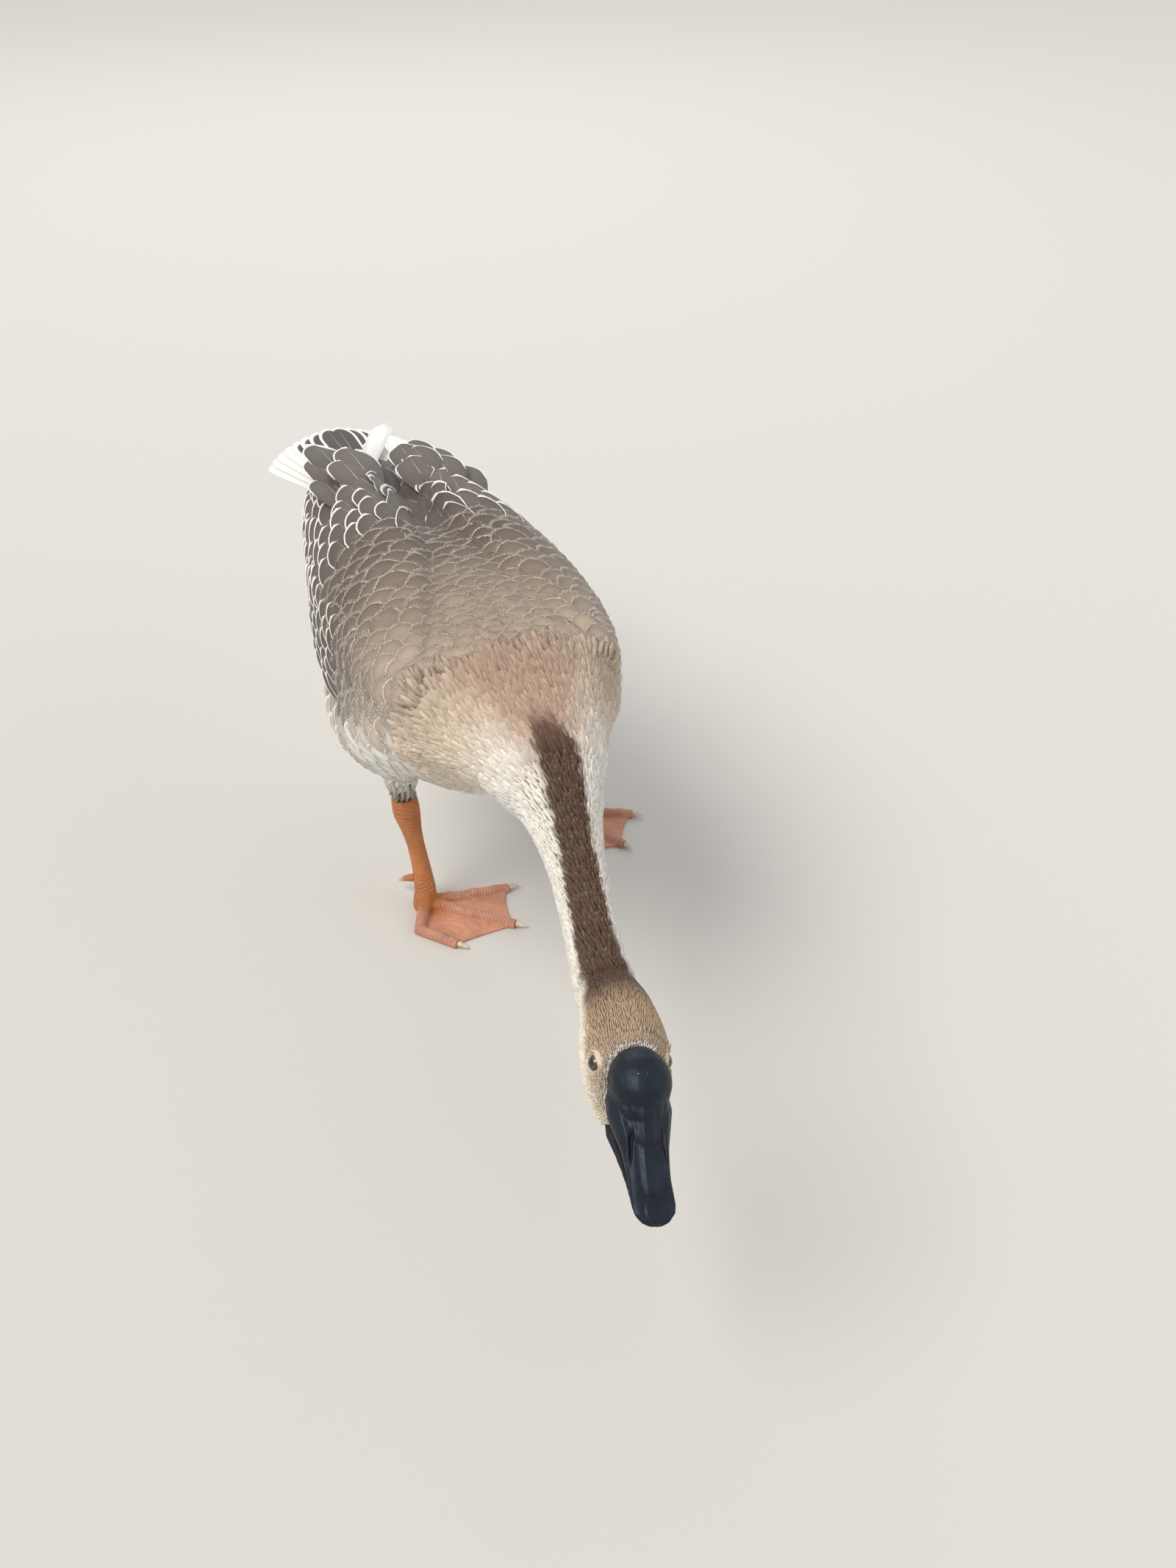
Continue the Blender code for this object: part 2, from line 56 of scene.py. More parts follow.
# ---- places in the frame ----
def boxMiddle(node):
    low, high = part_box(node)
    return (low + high) / 2


def nodePoints(node):
    return meshPoints(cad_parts[node].data)


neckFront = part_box("neck_upper")[0].y  # where the neck meets the head
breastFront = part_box("breast")[0].y
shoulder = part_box("trunk")[0].y
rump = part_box("trunk")[1].y

# The head's own axes: ahead along the bill, left, up
headSet = {"turn": 12.2, "drop": 9.0, "roll": 9.0, "eyeAhead": 0.008, "eyeUp": 0.004}
headTurn = (
    Matrix.Rotation(-math.radians(headSet["turn"]), 3, "Z")
    @ Matrix.Rotation(math.radians(headSet["drop"]), 3, "X")
    @ Matrix.Rotation(math.radians(headSet["roll"]), 3, "Y")
)
headAxes = np.array([headTurn @ Vector(axis) for axis in ((0, -1, 0), (1, 0, 0), (0, 0, 1))])
eyesMiddle = np.array((boxMiddle("eye_left") + boxMiddle("eye_right")) / 2)
headAt = eyesMiddle - headSet["eyeAhead"] * headAxes[0] - headSet["eyeUp"] * headAxes[2]
eyeRadius = (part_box("eye_left")[1].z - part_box("eye_left")[0].z) / 2


# The way an eye looks, on the head's axes.
def eyeLook(side):
    return np.array([0.13, sides[side] * 0.97, 0.18])


def toHead(points):
    return (np.asarray(points) - headAt) @ headAxes.T


def fromHead(points):
    return np.asarray(points) @ headAxes + headAt


def smooth(low, high, value):
    t = np.clip((np.asarray(value, float) - low) / (high - low), 0, 1)
    return t * t * (3 - 2 * t)


# Grows from 0 to 1 between the first two places, and falls back to 0 between the last two.
def band(value, start, full, rest, end):
    return smooth(start, full, value) * (1 - smooth(rest, end, value))


# A smooth bump that is 1 at its middle.
def bump(value, middle, half, power=2):
    return np.exp(-(((value - middle) / half) ** power))


def unit(vectors):
    vectors = np.asarray(vectors, float)
    return vectors / np.maximum(np.linalg.norm(vectors, axis=-1, keepdims=True), 1e-9)


# ---- mesh tools ----
def newObject(name, mesh):
    obj = bpy.data.objects.new(name, mesh)
    bpy.context.scene.collection.objects.link(obj)
    return obj


def dropObject(obj):
    mesh = obj.data
    bpy.data.objects.remove(obj)
    bpy.data.meshes.remove(mesh)


# The object's mesh with its modifiers applied.
def meshOf(obj):
    graph = bpy.context.evaluated_depsgraph_get()
    return bpy.data.meshes.new_from_object(obj.evaluated_get(graph))


# One row of values for each part of a mesh, such as each vertex or corner.
def valuesOf(parts, key, size=3):
    values = np.zeros(len(parts) * size)
    parts.foreach_get(key, values)
    return values.reshape(-1, size)


def meshPoints(mesh):
    return valuesOf(mesh.vertices, "co")


def meshNormals(mesh):
    return valuesOf(mesh.vertices, "normal")


def setPoints(mesh, points):
    mesh.vertices.foreach_set("co", np.asarray(points, np.float32).ravel())
    mesh.update()


# One object with merged copies of CAD nodes.
def joinNodes(name, nodes):
    joined = bmesh.new()
    for node in nodes:
        joined.from_mesh(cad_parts[node].data)
    bmesh.ops.remove_doubles(joined, verts=joined.verts, dist=1e-5)
    mesh = bpy.data.meshes.new(name)
    joined.to_mesh(mesh)
    joined.free()
    return newObject(name, mesh)


# Deletes all but the largest connected part, such as bubbles left in the gaps between nodes.
def largestIsland(mesh):
    work = bmesh.new()
    work.from_mesh(mesh)
    work.verts.ensure_lookup_table()
    label = [-1] * len(work.verts)
    sizes = []
    for start in work.verts:
        if label[start.index] >= 0:
            continue
        stack = [start]
        label[start.index] = len(sizes)
        count = 0
        while stack:
            vert = stack.pop()
            count += 1
            for edge in vert.link_edges:
                other = edge.other_vert(vert)
                if label[other.index] < 0:
                    label[other.index] = len(sizes)
                    stack.append(other)
        sizes.append(count)
    keep = int(np.argmax(sizes))
    bmesh.ops.delete(work, geom=[v for v in work.verts if label[v.index] != keep], context="VERTS")
    work.to_mesh(mesh)
    work.free()


# CAD nodes joined as one smooth closed mesh. bridges are oval balls, (middle, radii, axes), that join them.
def remeshed(name, nodes, voxel, rounds, bridges=()):
    rough = joinNodes(name + "Rough", nodes)
    if bridges:
        work = bmesh.new()
        work.from_mesh(rough.data)
        for middle, radii, axes in bridges:
            turn = Matrix(np.array(axes).T.tolist()).to_4x4()
            place = Matrix.Translation(middle) @ turn @ Matrix.Diagonal((*radii, 1))
            bmesh.ops.create_icosphere(work, subdivisions=4, radius=1.0, matrix=place)
        work.to_mesh(rough.data)
        work.free()
    remesh = rough.modifiers.new("remesh", "REMESH")
    remesh.mode = "VOXEL"
    remesh.voxel_size = voxel
    mesh = meshOf(rough)
    dropObject(rough)
    largestIsland(mesh)
    mesh.name = name
    obj = newObject(name, mesh)
    relax(obj, rounds)
    return obj


# Applies the object's modifiers, so that none is left on it.
def applyModifiers(obj):
    mesh, old = meshOf(obj), obj.data
    obj.modifiers.clear()
    obj.data = mesh
    bpy.data.meshes.remove(old)


def relax(obj, rounds):
    ease = obj.modifiers.new("ease", "SMOOTH")
    ease.factor = 0.5
    ease.iterations = rounds
    applyModifiers(obj)


def turnFacesOut(mesh):
    shell = bmesh.new()
    shell.from_mesh(mesh)
    bmesh.ops.recalc_face_normals(shell, faces=shell.faces)
    shell.to_mesh(mesh)
    shell.free()


# Gives an object one finish, and smooth shading.
def finishWith(obj, material):
    obj.data.materials.clear()
    obj.data.materials.append(material)
    obj.data.shade_smooth()


# A value for each vertex. kind is FLOAT, FLOAT_VECTOR or FLOAT_COLOR.
def setAttribute(mesh, name, kind, values):
    attribute = mesh.attributes.new(name, kind, "POINT")
    values = np.asarray(values, np.float32)
    if kind == "FLOAT_COLOR":
        values = np.concatenate([values, np.ones((len(values), 1), np.float32)], axis=1)
    key = {"FLOAT": "value", "FLOAT_VECTOR": "vector", "FLOAT_COLOR": "color"}[kind]
    attribute.data.foreach_set(key, values.ravel())


# The vertex of each corner of each face.
def cornersOf(mesh):
    corners = np.zeros(len(mesh.loops), np.int32)
    mesh.loops.foreach_get("vertex_index", corners)
    return corners


# A UV map from one place for each vertex.
def setMap(mesh, name, places):
    layer = mesh.uv_layers.new(name=name)
    layer.uv.foreach_set("vector", np.asarray(places, np.float32)[cornersOf(mesh)].ravel())


# ---- shader tools ----
# A shader node. inputs takes sockets to link and values to set, by the input's name or number.
def addNode(tree, kind, inputs=None, **settings):
    node = tree.nodes.new(kind)
    for key, value in settings.items():
        setattr(node, key, value)
    for key, value in (inputs or {}).items():
        if isinstance(value, bpy.types.NodeSocket):
            tree.links.new(value, node.inputs[key])
        else:
            node.inputs[key].default_value = value
    return node


def calc(tree, operation, *values):
    return addNode(tree, "ShaderNodeMath", dict(enumerate(values)), operation=operation).outputs[0]


def plus(tree, first, second):
    return calc(tree, "ADD", first, second)


def minus(tree, first, second):
    return calc(tree, "SUBTRACT", first, second)


def times(tree, first, second):
    return calc(tree, "MULTIPLY", first, second)


def splitVector(tree, vector):
    return addNode(tree, "ShaderNodeSeparateXYZ", {0: vector}).outputs


def joinVector(tree, *values):
    return addNode(tree, "ShaderNodeCombineXYZ", dict(enumerate(values))).outputs[0]


# start below low, end above high, and a smooth change between them.
def ramp(tree, value, low, high, start=0.0, end=1.0):
    inputs = {"Value": value, "From Min": low, "From Max": high, "To Min": start, "To Max": end}
    return addNode(tree, "ShaderNodeMapRange", inputs, interpolation_type="SMOOTHSTEP").outputs["Result"]


def mixColour(tree, share, first, second, blend="MIX"):
    inputs = {0: share, 6: first, 7: second}
    return addNode(tree, "ShaderNodeMix", inputs, data_type="RGBA", blend_type=blend).outputs[2]


# A colour made darker or lighter by a factor.
def shade(tree, colour, value):
    grey = addNode(tree, "ShaderNodeCombineColor", {0: value, 1: value, 2: value}).outputs[0]
    return mixColour(tree, 1.0, colour, grey, "MULTIPLY")


def noise(tree, place, scale, detail=2.0, rough=0.5):
    inputs = {"Vector": place, "Scale": scale, "Detail": detail, "Roughness": rough}
    return addNode(tree, "ShaderNodeTexNoise", inputs).outputs["Fac"]


def objectPlace(tree):
    return addNode(tree, "ShaderNodeTexCoord").outputs["Object"]


def attribute(tree, name, output="Fac"):
    return addNode(tree, "ShaderNodeAttribute", attribute_name=name).outputs[output]


# An empty group of nodes, with its input and output nodes. inputs and outputs give the kind for each label.
def newGroup(name, inputs, outputs, kind="ShaderNodeTree"):
    tree = bpy.data.node_groups.new(name, kind)
    for way, sockets in (("INPUT", inputs), ("OUTPUT", outputs)):
        for label, socket in sockets.items():
            tree.interface.new_socket(label, in_out=way, socket_type="NodeSocket" + socket)
    return tree, tree.nodes.new("NodeGroupInput"), tree.nodes.new("NodeGroupOutput")


# Links a group's results to its outputs.
def giveOut(tree, made, **results):
    for label, socket in results.items():
        tree.links.new(socket, made.inputs[label])


# A material with its Principled shader. fixed holds the shader's constant values.
def newMaterial(name, fixed):
    material = bpy.data.materials.new(name)
    material.use_nodes = True
    shader = material.node_tree.nodes["Principled BSDF"]
    for key, value in fixed.items():
        shader.inputs[key].default_value = value
    return material, material.node_tree, shader


# Links what makes a surface to its shader. bumps is (height, strength, distance).
def linkSurface(tree, shader, colour, rough=None, bumps=None):
    tree.links.new(colour, shader.inputs["Base Color"])
    if rough:
        tree.links.new(rough, shader.inputs["Roughness"])
    if bumps:
        inputs = dict(zip(("Height", "Strength", "Distance"), bumps))
        tree.links.new(addNode(tree, "ShaderNodeBump", inputs).outputs["Normal"], shader.inputs["Normal"])


# A linear colour from the values of a paint card.
def paint(*card):
    return np.array([((c / 255 + 0.055) / 1.055) ** 2.4 if c > 10 else c / 255 / 12.92 for c in card])


def rgba(colour):
    return (*[float(c) for c in colour], 1.0)


# No plumage is whiter than this.
def limited(colour):
    return np.clip(colour, 0, 0.95)


# ---- colours ----
# as on a paint card, 0 to 255
colours = {
    "white": (240, 237, 230),
    "cream": (226, 212, 192),
    "fawn": (203, 183, 160),
    "rosyFawn": (176, 146, 124),
    "greyFawn": (143, 126, 111),
    "paleRim": (228, 213, 195),
    "taupe": (94, 83, 74),
    "darkTaupe": (72, 63, 57),
    "stripe": (96, 72, 58),
    "fleck": (176, 156, 138),
    "crown": (182, 156, 128),
    "cheek": (238, 227, 208),
    "lid": (232, 214, 184),
    "thigh": (120, 104, 92),
    "bill": (7, 8, 10),
    "billWorn": (22, 26, 33),
    "billFlush": (96, 46, 38),
    "dust": (190, 182, 170),
    "iris": (44, 32, 18),
    "irisRays": (98, 76, 42),
    "irisRim": (26, 18, 13),
    "leg": (203, 128, 74),
    "toes": (220, 158, 130),
    "claw": (176, 150, 124),
    "clawWorn": (226, 212, 194),
    "floor": (205, 201, 194),
}
colours = {name: paint(*card) for name, card in colours.items()}


def blendColours(first, second, share):
    share = np.asarray(share, float)[:, None]
    return np.asarray(first) * (1 - share) + np.asarray(second) * share


# How far points of the head lie from the nearer eye's middle.
def eyeDistance(points):
    gaps = [np.linalg.norm(points - np.array(boxMiddle(f"eye_{side}")), axis=1) for side in sides]
    return np.minimum(*gaps)


def joinedTree(nodes):
    joined = joinNodes("guide", nodes)
    faces = [p.vertices[:] for p in joined.data.polygons]
    guide = BVHTree.FromPolygons([v.co for v in joined.data.vertices], faces)
    dropObject(joined)
    return guide


billTree = joinedTree(["bill_upper", "bill_knob", "bill_lower"])


# How far points lie from the bill, up to a limit.
def billDistance(points, limit):
    gaps = np.full(len(points), limit)
    for i in np.nonzero(points[:, 1] < neckFront)[0]:
        distance = billTree.find_nearest(Vector(points[i]), limit)[3]
        if distance is not None:
            gaps[i] = distance
    return gaps


# The coat's main colour at points on the skin, with the angle round the body from its top, in degrees.
def plumage(points, angles):
    points = np.asarray(points, float)
    y = points[:, 1]
    a = np.abs(angles)
    ripple = np.sin(points[:, 0] * 310 + np.sin(y * 170) * 1.7)
    uneven = 0.5 + 0.5 * ripple * np.sin(y * 260 + points[:, 2] * 190)

    # neck: a dark stripe on top, white sides
    places = [neckFront, neckFront + 0.08, *(breastFront + gap for gap in (-0.05, -0.01, 0.016, 0.04))]
    stripeHalf = np.interp(y, places, [47, 36, 33, 29, 18, 5])
    onStripe = 1 - smooth(stripeHalf - 6, stripeHalf + 6, a + 7 * (uneven - 0.5))
    onStripe *= 1 - smooth(breastFront + 0.004, breastFront + 0.044, y + 0.012 * (uneven - 0.5))
    colour = np.repeat(colours["white"][None], len(points), 0)

    def wash(name, share):
        return blendColours(colour, colours[name], share)

    colour = wash("cream", 0.45 * smooth(120, 60, a))

    # breast and shoulders, paler low down, with a rosy patch where the stripe ends
    onBreast = smooth(breastFront - 0.01, breastFront + 0.06, y)
    fawn = blendColours(colours["fawn"], colours["cream"], smooth(62, 118, a))
    fawn = blendColours(fawn, colours["white"], smooth(125, 165, a))
    colour = blendColours(colour, fawn, onBreast)
    rosy = (1 - smooth(24, 62, a)) * smooth(breastFront - 0.03, breastFront + 0.02, y)
    rosy *= 1 - smooth(shoulder - 0.08, shoulder + 0.05, y)
    colour = wash("rosyFawn", 0.9 * rosy)

    # mantle, then darker scapulars and coverts
    onMantle = (1 - smooth(70, 108, a)) * smooth(shoulder - 0.11, shoulder + 0.06, y)
    colour = wash("greyFawn", onMantle)
    onWing = smooth(shoulder + 0.03, shoulder + 0.14, y + 0.05 * smooth(20, 80, a))
    colour = wash("taupe", (1 - smooth(94, 104, a)) * onWing)

    # flanks and belly
    onFlank = band(a, 96, 106, 140, 156) * smooth(shoulder - 0.03, shoulder + 0.05, y)
    colour = wash("greyFawn", 0.45 * onFlank)
    front = band(y, shoulder - 0.045, shoulder - 0.02, shoulder + 0.04, shoulder + 0.062)
    colour = wash("white", 0.95 * front * band(a, 92, 99, 122, 138))
    onBelly = smooth(140, 158, a) * smooth(shoulder + 0.02, shoulder + 0.12, y)
    colour = wash("white", onBelly)
    onRear = smooth(rump - 0.14, rump - 0.08, y) * smooth(70, 100, a)
    colour = wash("white", onRear)
    colour = wash("stripe", onStripe)

    # head: buff crown, cream cheeks, a white line round the bill
    place = toHead(points)
    ahead, up = place[:, 0], place[:, 2]
    onHead = smooth(neckFront + 0.022, neckFront - 0.012, y)
    crownLow = np.interp(ahead, [-0.04, -0.01, 0.012, 0.03], [0.004, 0.007, 0.003, -0.008])
    onCrown = smooth(crownLow - 0.006, crownLow + 0.007, up + 0.003 * (uneven - 0.5))
    crown = blendColours(colours["stripe"], colours["crown"], smooth(-0.045, -0.012, ahead))
    crown = blendColours(crown, colours["fawn"], 0.6 * smooth(-0.004, 0.012, ahead))
    buff = 0.42 * smooth(0.006, 0.024, ahead) * smooth(-0.022, -0.006, up)
    face = blendColours(colours["cheek"], colours["fawn"], buff)
    colour = blendColours(colour, blendColours(face, crown, onCrown), onHead)
    byBill = 1 - smooth(0.0012, 0.0027, billDistance(points, 0.006))
    colour = wash("white", 0.85 * byBill)
    colour = wash("lid", 1 - smooth(0.0082, 0.0092, eyeDistance(points)))
    return colour


# ---- skin ----
skinSet = {
    "voxel": 0.0031,
    "smoothing": 9,
    "headDepth": 0.0007,
    "neckDepth": 0.0022,
    "bodyDepth": 0.0052,
    "cleftDepth": 0.0085,
    "cleftHalf": 0.015,
}
flesh = ["head", "neck_upper", "neck_lower", "breast", "trunk"]
flesh += [f"{part}_{side}" for part in ("wing", "flank", "thigh") for side in sides]


# x of the furrow between the two groups of long shoulder feathers.
def cleftMiddle(y):
    return boxMiddle("trunk").x + 0.008 + 0.05 * (y - shoulder - 0.2)


# How far the skin lies inside the feathers.
def coatDepth(points):
    y = points[:, 1]
    head, neck, body = skinSet["headDepth"], skinSet["neckDepth"], skinSet["bodyDepth"]
    depth = head + (neck - head) * smooth(neckFront - 0.02, neckFront + 0.03, y)
    return depth + (body - neck) * smooth(breastFront - 0.03, breastFront + 0.06, y)


# The furrow's depth, deepest on the line where the left and right feathers meet.
def cleft(points):
    y = points[:, 1]
    along = band(y, shoulder + 0.12, shoulder + 0.2, rump - 0.1, rump - 0.02)
    off = (points[:, 0] - cleftMiddle(y)) / skinSet["cleftHalf"]
    upper = smooth(0.29, 0.32, points[:, 2])
    return skinSet["cleftDepth"] * along * upper * np.exp(-off * off)


# Cuts the skin's faces finer where the head is.
def refineHead(obj, front, times):
    work = bmesh.new()
    work.from_mesh(obj.data)
    for turn in range(times):
        chosen = {e for f in work.faces if f.calc_center_median().y < front - 0.02 * turn for e in f.edges}
        bmesh.ops.subdivide_edges(work, edges=list(chosen), cuts=1, use_grid_fill=True)
    work.to_mesh(obj.data)
    work.free()


# Places are distances from the eye's middle, in openings.
lidSet = {
    "open": (0.0056, 0.0045),  # half length and half height
    "rim": 0.001,
    "rimEnd": (1.0, 1.5),
    "inward": (1.0, 0.75, 0.0022),  # the lid's inner side: from where to where, depth
    "blend": (1.15, 2.1),  # where the lid runs out into the face
    "fold": (1.75, 0.22, 0.0007),  # middle, half width, depth
}


# Opens the skin over each eye, with a raised lid around it and a shallow fold outside that.
def shapeLids(points):
    local = toHead(points)
    for side in sides:
        eye = toHead([boxMiddle(f"eye_{side}")])[0]
        out = unit(eyeLook(side))
        along = unit(np.array([1.0, 0, 0]) - out * out[0])
        over = np.cross(out, along) * sides[side]
        rel = local - eye
        height = rel @ out
        across = rel @ along
        above = rel @ over
        ring = np.sqrt((across / lidSet["open"][0]) ** 2 + (above / lidSet["open"][1]) ** 2)
        near = (height > -0.002) & (ring < 3.2)
        distance = np.sqrt(across**2 + above**2)
        ball = np.sqrt(np.maximum(eyeRadius**2 - distance**2, 0))
        lid = ball + lidSet["rim"] * (1 - smooth(*lidSet["rimEnd"], ring))
        start, end, deep = lidSet["inward"]
        edge = np.where(ring < 1, ball - deep * smooth(start, end, ring) - 0.0002, lid)
        share = 1 - smooth(*lidSet["blend"], ring)
        wanted = np.where(ring < 1.25, edge, np.maximum(edge, height))
        middle, half, deep = lidSet["fold"]
        wanted -= deep * bump(ring, middle, half)
        local[near] += np.outer(((wanted - height) * share)[near], out)
    return fromHead(local)


# Brings the skin's edge just inside the bill, so that no gap shows.
def tuckToBill(points, reach, inside):
    for i in np.nonzero(points[:, 1] < neckFront)[0]:
        hit, normal = billTree.find_nearest(Vector(points[i]), reach)[:2]
        if hit is None:
            continue
        away = (Vector(points[i]) - hit).dot(normal)
        if away > -inside:
            points[i] = hit - normal * inside
    return points


def makeSkin():
    # a ball in each eye socket closes it, and the lids are shaped over that
    sockets = [(boxMiddle(f"eye_{side}"), [eyeRadius - 0.0002] * 3, np.eye(3)) for side in sides]
    skin = remeshed("skin", flesh, skinSet["voxel"], skinSet["smoothing"], sockets)
    refineHead(skin, neckFront + 0.004, 2)
    relax(skin, 2)
    points, normals = meshPoints(skin.data), meshNormals(skin.data)
    points -= normals * (coatDepth(points) + cleft(points))[:, None]
    setPoints(skin.data, points)
    relax(skin, 2)
    points = shapeLids(meshPoints(skin.data))
    setPoints(skin.data, tuckToBill(points, 0.0016, 0.0003))
    return skin


skin = makeSkin()
print("skin", len(skin.data.polygons), "faces")


# ---- the skin as a guide for feathers ----
def makeGuide():
    # a copy, smoothed on the back so that feathers lie evenly over the furrow
    guide = newObject("guide", skin.data.copy())
    sharp = meshPoints(guide.data)
    relax(guide, 26)
    back = smooth(shoulder - 0.02, shoulder + 0.06, sharp[:, 1]) * smooth(0.2, 0.25, sharp[:, 2])
    points = sharp + (meshPoints(guide.data) - sharp) * back[:, None]
    setPoints(guide.data, points)
    mesh = guide.data
    normals = meshNormals(mesh)
    faces = [p.vertices[:] for p in mesh.polygons]
    tree = BVHTree.FromPolygons([Vector(p) for p in points], faces)
    soft = [Vector(normals[list(f)].mean(axis=0)).normalized() for f in faces]
    dropObject(guide)
    return tree, soft, points


skinTree, softNormals, skinPoints = makeGuide()


# The middle and the girth of neck and body at places along y.
def makeMiddleLine():
    places = np.linspace(neckFront - 0.05, rump - 0.004, 60)
    middles, girths = [], []
    for y in places:
        ring = skinPoints[np.abs(skinPoints[:, 1] - y) < 0.006]
        ring = ring[ring[:, 2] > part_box("trunk")[0].z + 0.004]
        low, high = ring.min(axis=0), ring.max(axis=0)
        middle = ((low + high) / 2)[[0, 2]]
        split = smooth(shoulder + 0.05, shoulder + 0.16, y)  # further back the feathers part at the furrow
        middle[0] += (cleftMiddle(y) - middle[0]) * split
        middles.append(middle)
        girths.append(math.pi * ((high - low)[0] + (high - low)[2]) / 2)
    return places, np.array(middles), np.array(girths)


lineY, lineMiddle, lineGirth = makeMiddleLine()


def middleAt(y):
    x = np.interp(y, lineY, lineMiddle[:, 0])
    z = np.interp(y, lineY, lineMiddle[:, 1])
    return Vector((x, y, z))


def girthAt(y):
    return float(np.interp(y, lineY, lineGirth))


# Degrees from the top of the back, positive on the left, for each point.
def anglesOf(points):
    points = np.asarray(points, float)
    x = points[:, 0] - np.interp(points[:, 1], lineY, lineMiddle[:, 0])
    z = points[:, 2] - np.interp(points[:, 1], lineY, lineMiddle[:, 1])
    return np.degrees(np.arctan2(x, z))


def nearestSkin(point):
    hit, index = skinTree.find_nearest(point)[::2]
    return hit, softNormals[index]


# The skin's outermost point at an angle round the body, and its normal.
def skinAt(y, angle):
    turn = math.radians(angle)
    out = Vector((math.sin(turn), 0, math.cos(turn)))
    hit, index = skinTree.ray_cast(middleAt(y) + out * 0.4, -out)[::2]
    if hit is None:
        return None, None
    return hit, softNormals[index]


# The unwrap's margin, and the part of it that is used.
unwrapSet = {"start": 0.02, "size": 0.96}


# Places on an unwrap of the body: along it from low to high, and round it.
def unwrapPlaces(points, low, high):
    points = np.asarray(points, float)
    along = np.clip((points[:, 1] - low) / (high - low), 0, 1)
    around = anglesOf(points) / 360 + 0.5
    return unwrapSet["start"] + unwrapSet["size"] * np.stack([along, around], axis=1)


# ---- vanes: feathers with a rounded tip ----
vaneSet = {"along": 11, "across": 7, "thick": 0.0007, "rootWidth": 0.42, "dome": 0.0004, "patch": 0.92}
rimLines = {}  # for each piece: the grids of its feathers' upper sides, kept for the fringe


# Places from root to tip, closer together in the rounded tip that starts at cap.
def vaneStations(cap):
    count = vaneSet["along"]
    straight = np.linspace(0, cap, count // 2)
    tip = cap + (0.995 - cap) * np.sin(np.linspace(0, math.pi / 2, count - len(straight) + 1)[1:])
    return np.concatenate([straight, tip])


# The share of full width at places along a vane.
def vaneWidth(t, cap):
    grow = vaneSet["rootWidth"] + (1 - vaneSet["rootWidth"]) * np.sin(np.clip(t / cap, 0, 1) * math.pi / 2)
    end = np.sqrt(np.maximum(1 - np.clip((t - cap) / (1 - cap), 0, 1) ** 2, 0.006))
    return np.where(t < cap, grow, end)


# A path over the skin: points, normals and headings.
def walkSkin(root, lay, length, stations):
    at, up = nearestSkin(root)
    way = (lay - up * lay.dot(up)).normalized()
    path, ups, ways = [], [], []
    last = 0.0
    for t in stations:
        step = (t - last) * length
        last = t
        if step > 0:
            hit, normal = nearestSkin(at + way * step)
            if normal.dot(up) < 0.55 or (hit - at).dot(way) < step * 0.5:
                hit, normal = at + way * step, up
            move = hit - at
            up = (up * 0.35 + normal * 0.65).normalized()
            at = hit
            way = (way * 0.5 + move.normalized() * 0.5)
            way = (way - up * way.dot(up)).normalized()
        path.append(at.copy())
        ups.append(up.copy())
        ways.append(way.copy())
    return path, ups, ways


# A path through the air from root to tip, bowed upward by bow at its middle.
def arcPath(root, tip, up, bow, stations):
    root, tip = Vector(root), Vector(tip)
    run = tip - root
    up = (up - run.normalized() * up.dot(run.normalized())).normalized()
    path, ups, ways = [], [], []
    for t in stations:
        path.append(root + run * t + up * bow * 4 * t * (1 - t))
        slope = (run + up * bow * 4 * (1 - 2 * t)).normalized()
        ways.append(slope)
        ups.append((up - slope * up.dot(slope)).normalized())
    return path, ups, ways


# The grid of points of one vane's upper side and the line under its middle.
def vaneShape(feather):
    stations = vaneStations(feather["cap"])
    if "tip" in feather:
        path, ups, ways = arcPath(feather["root"], feather["tip"], feather["up"], feather["bow"], stations)
    else:
        path, ups, ways = walkSkin(feather["root"], feather["lay"], feather["length"], stations)
    widths = vaneWidth(stations, feather["cap"]) * feather["half"]
    across = np.linspace(-1, 1, vaneSet["across"])
    grid = np.zeros((len(stations), len(across), 3))
    spine = np.zeros((len(stations), 3))
    low, high = feather["lift"]
    hug = "tip" not in feather
    lean, curl, dome = feather.get("lean", 0.0), feather.get("curl", 0.0), feather.get("dome", 0.0)
    jag = feather.get("jag", 0.0)
    for i, t in enumerate(stations):
        left = ups[i].cross(ways[i])
        level = low + (high - low) * t**0.8 - curl * max(0.0, t - 0.6) ** 2 / 0.16
        edge = 1 + jag * feather["dice"].uniform(-1, 1)
        for j, u in enumerate(across):
            aside = left * (u * widths[i] * edge)
            point, up = path[i] + aside, ups[i]
            if hug and abs(u) > 0.1:
                hit, normal = nearestSkin(point)
                if normal.dot(up) > 0.4 and (hit - point).length < 0.02:
                    point = hit
                    up = (normal + ups[i]).normalized()
                else:
                    point = point - ups[i] * (0.25 * abs(u) * widths[i])
            rise = level + dome * (1 - u * u) + lean * u * (0.25 + 0.75 * t)
            grid[i, j] = point + up * rise
        spine[i] = path[i] + ups[i] * (level + dome - vaneSet["thick"] * (1.6 - t))
    return grid, spine, stations, widths


# Faces of one closed vane: its top, its two lower sides and its two ends.
def vaneFaces(rows, across):
    faces = []
    under = rows * across
    for i in range(rows - 1):
        for j in range(across - 1):
            a = i * across + j
            faces.append((a, a + across, a + across + 1, a + 1))
        left, right = i * across + across - 1, i * across
        faces.append((left, left + across, under + i + 1, under + i))
        faces.append((right + across, right, under + i, under + i + 1))
    for j in range(across - 1):
        faces.append((j, j + 1, under))
        tip = (rows - 1) * across + j
        faces.append((tip + 1, tip, under + rows - 1))
    return faces


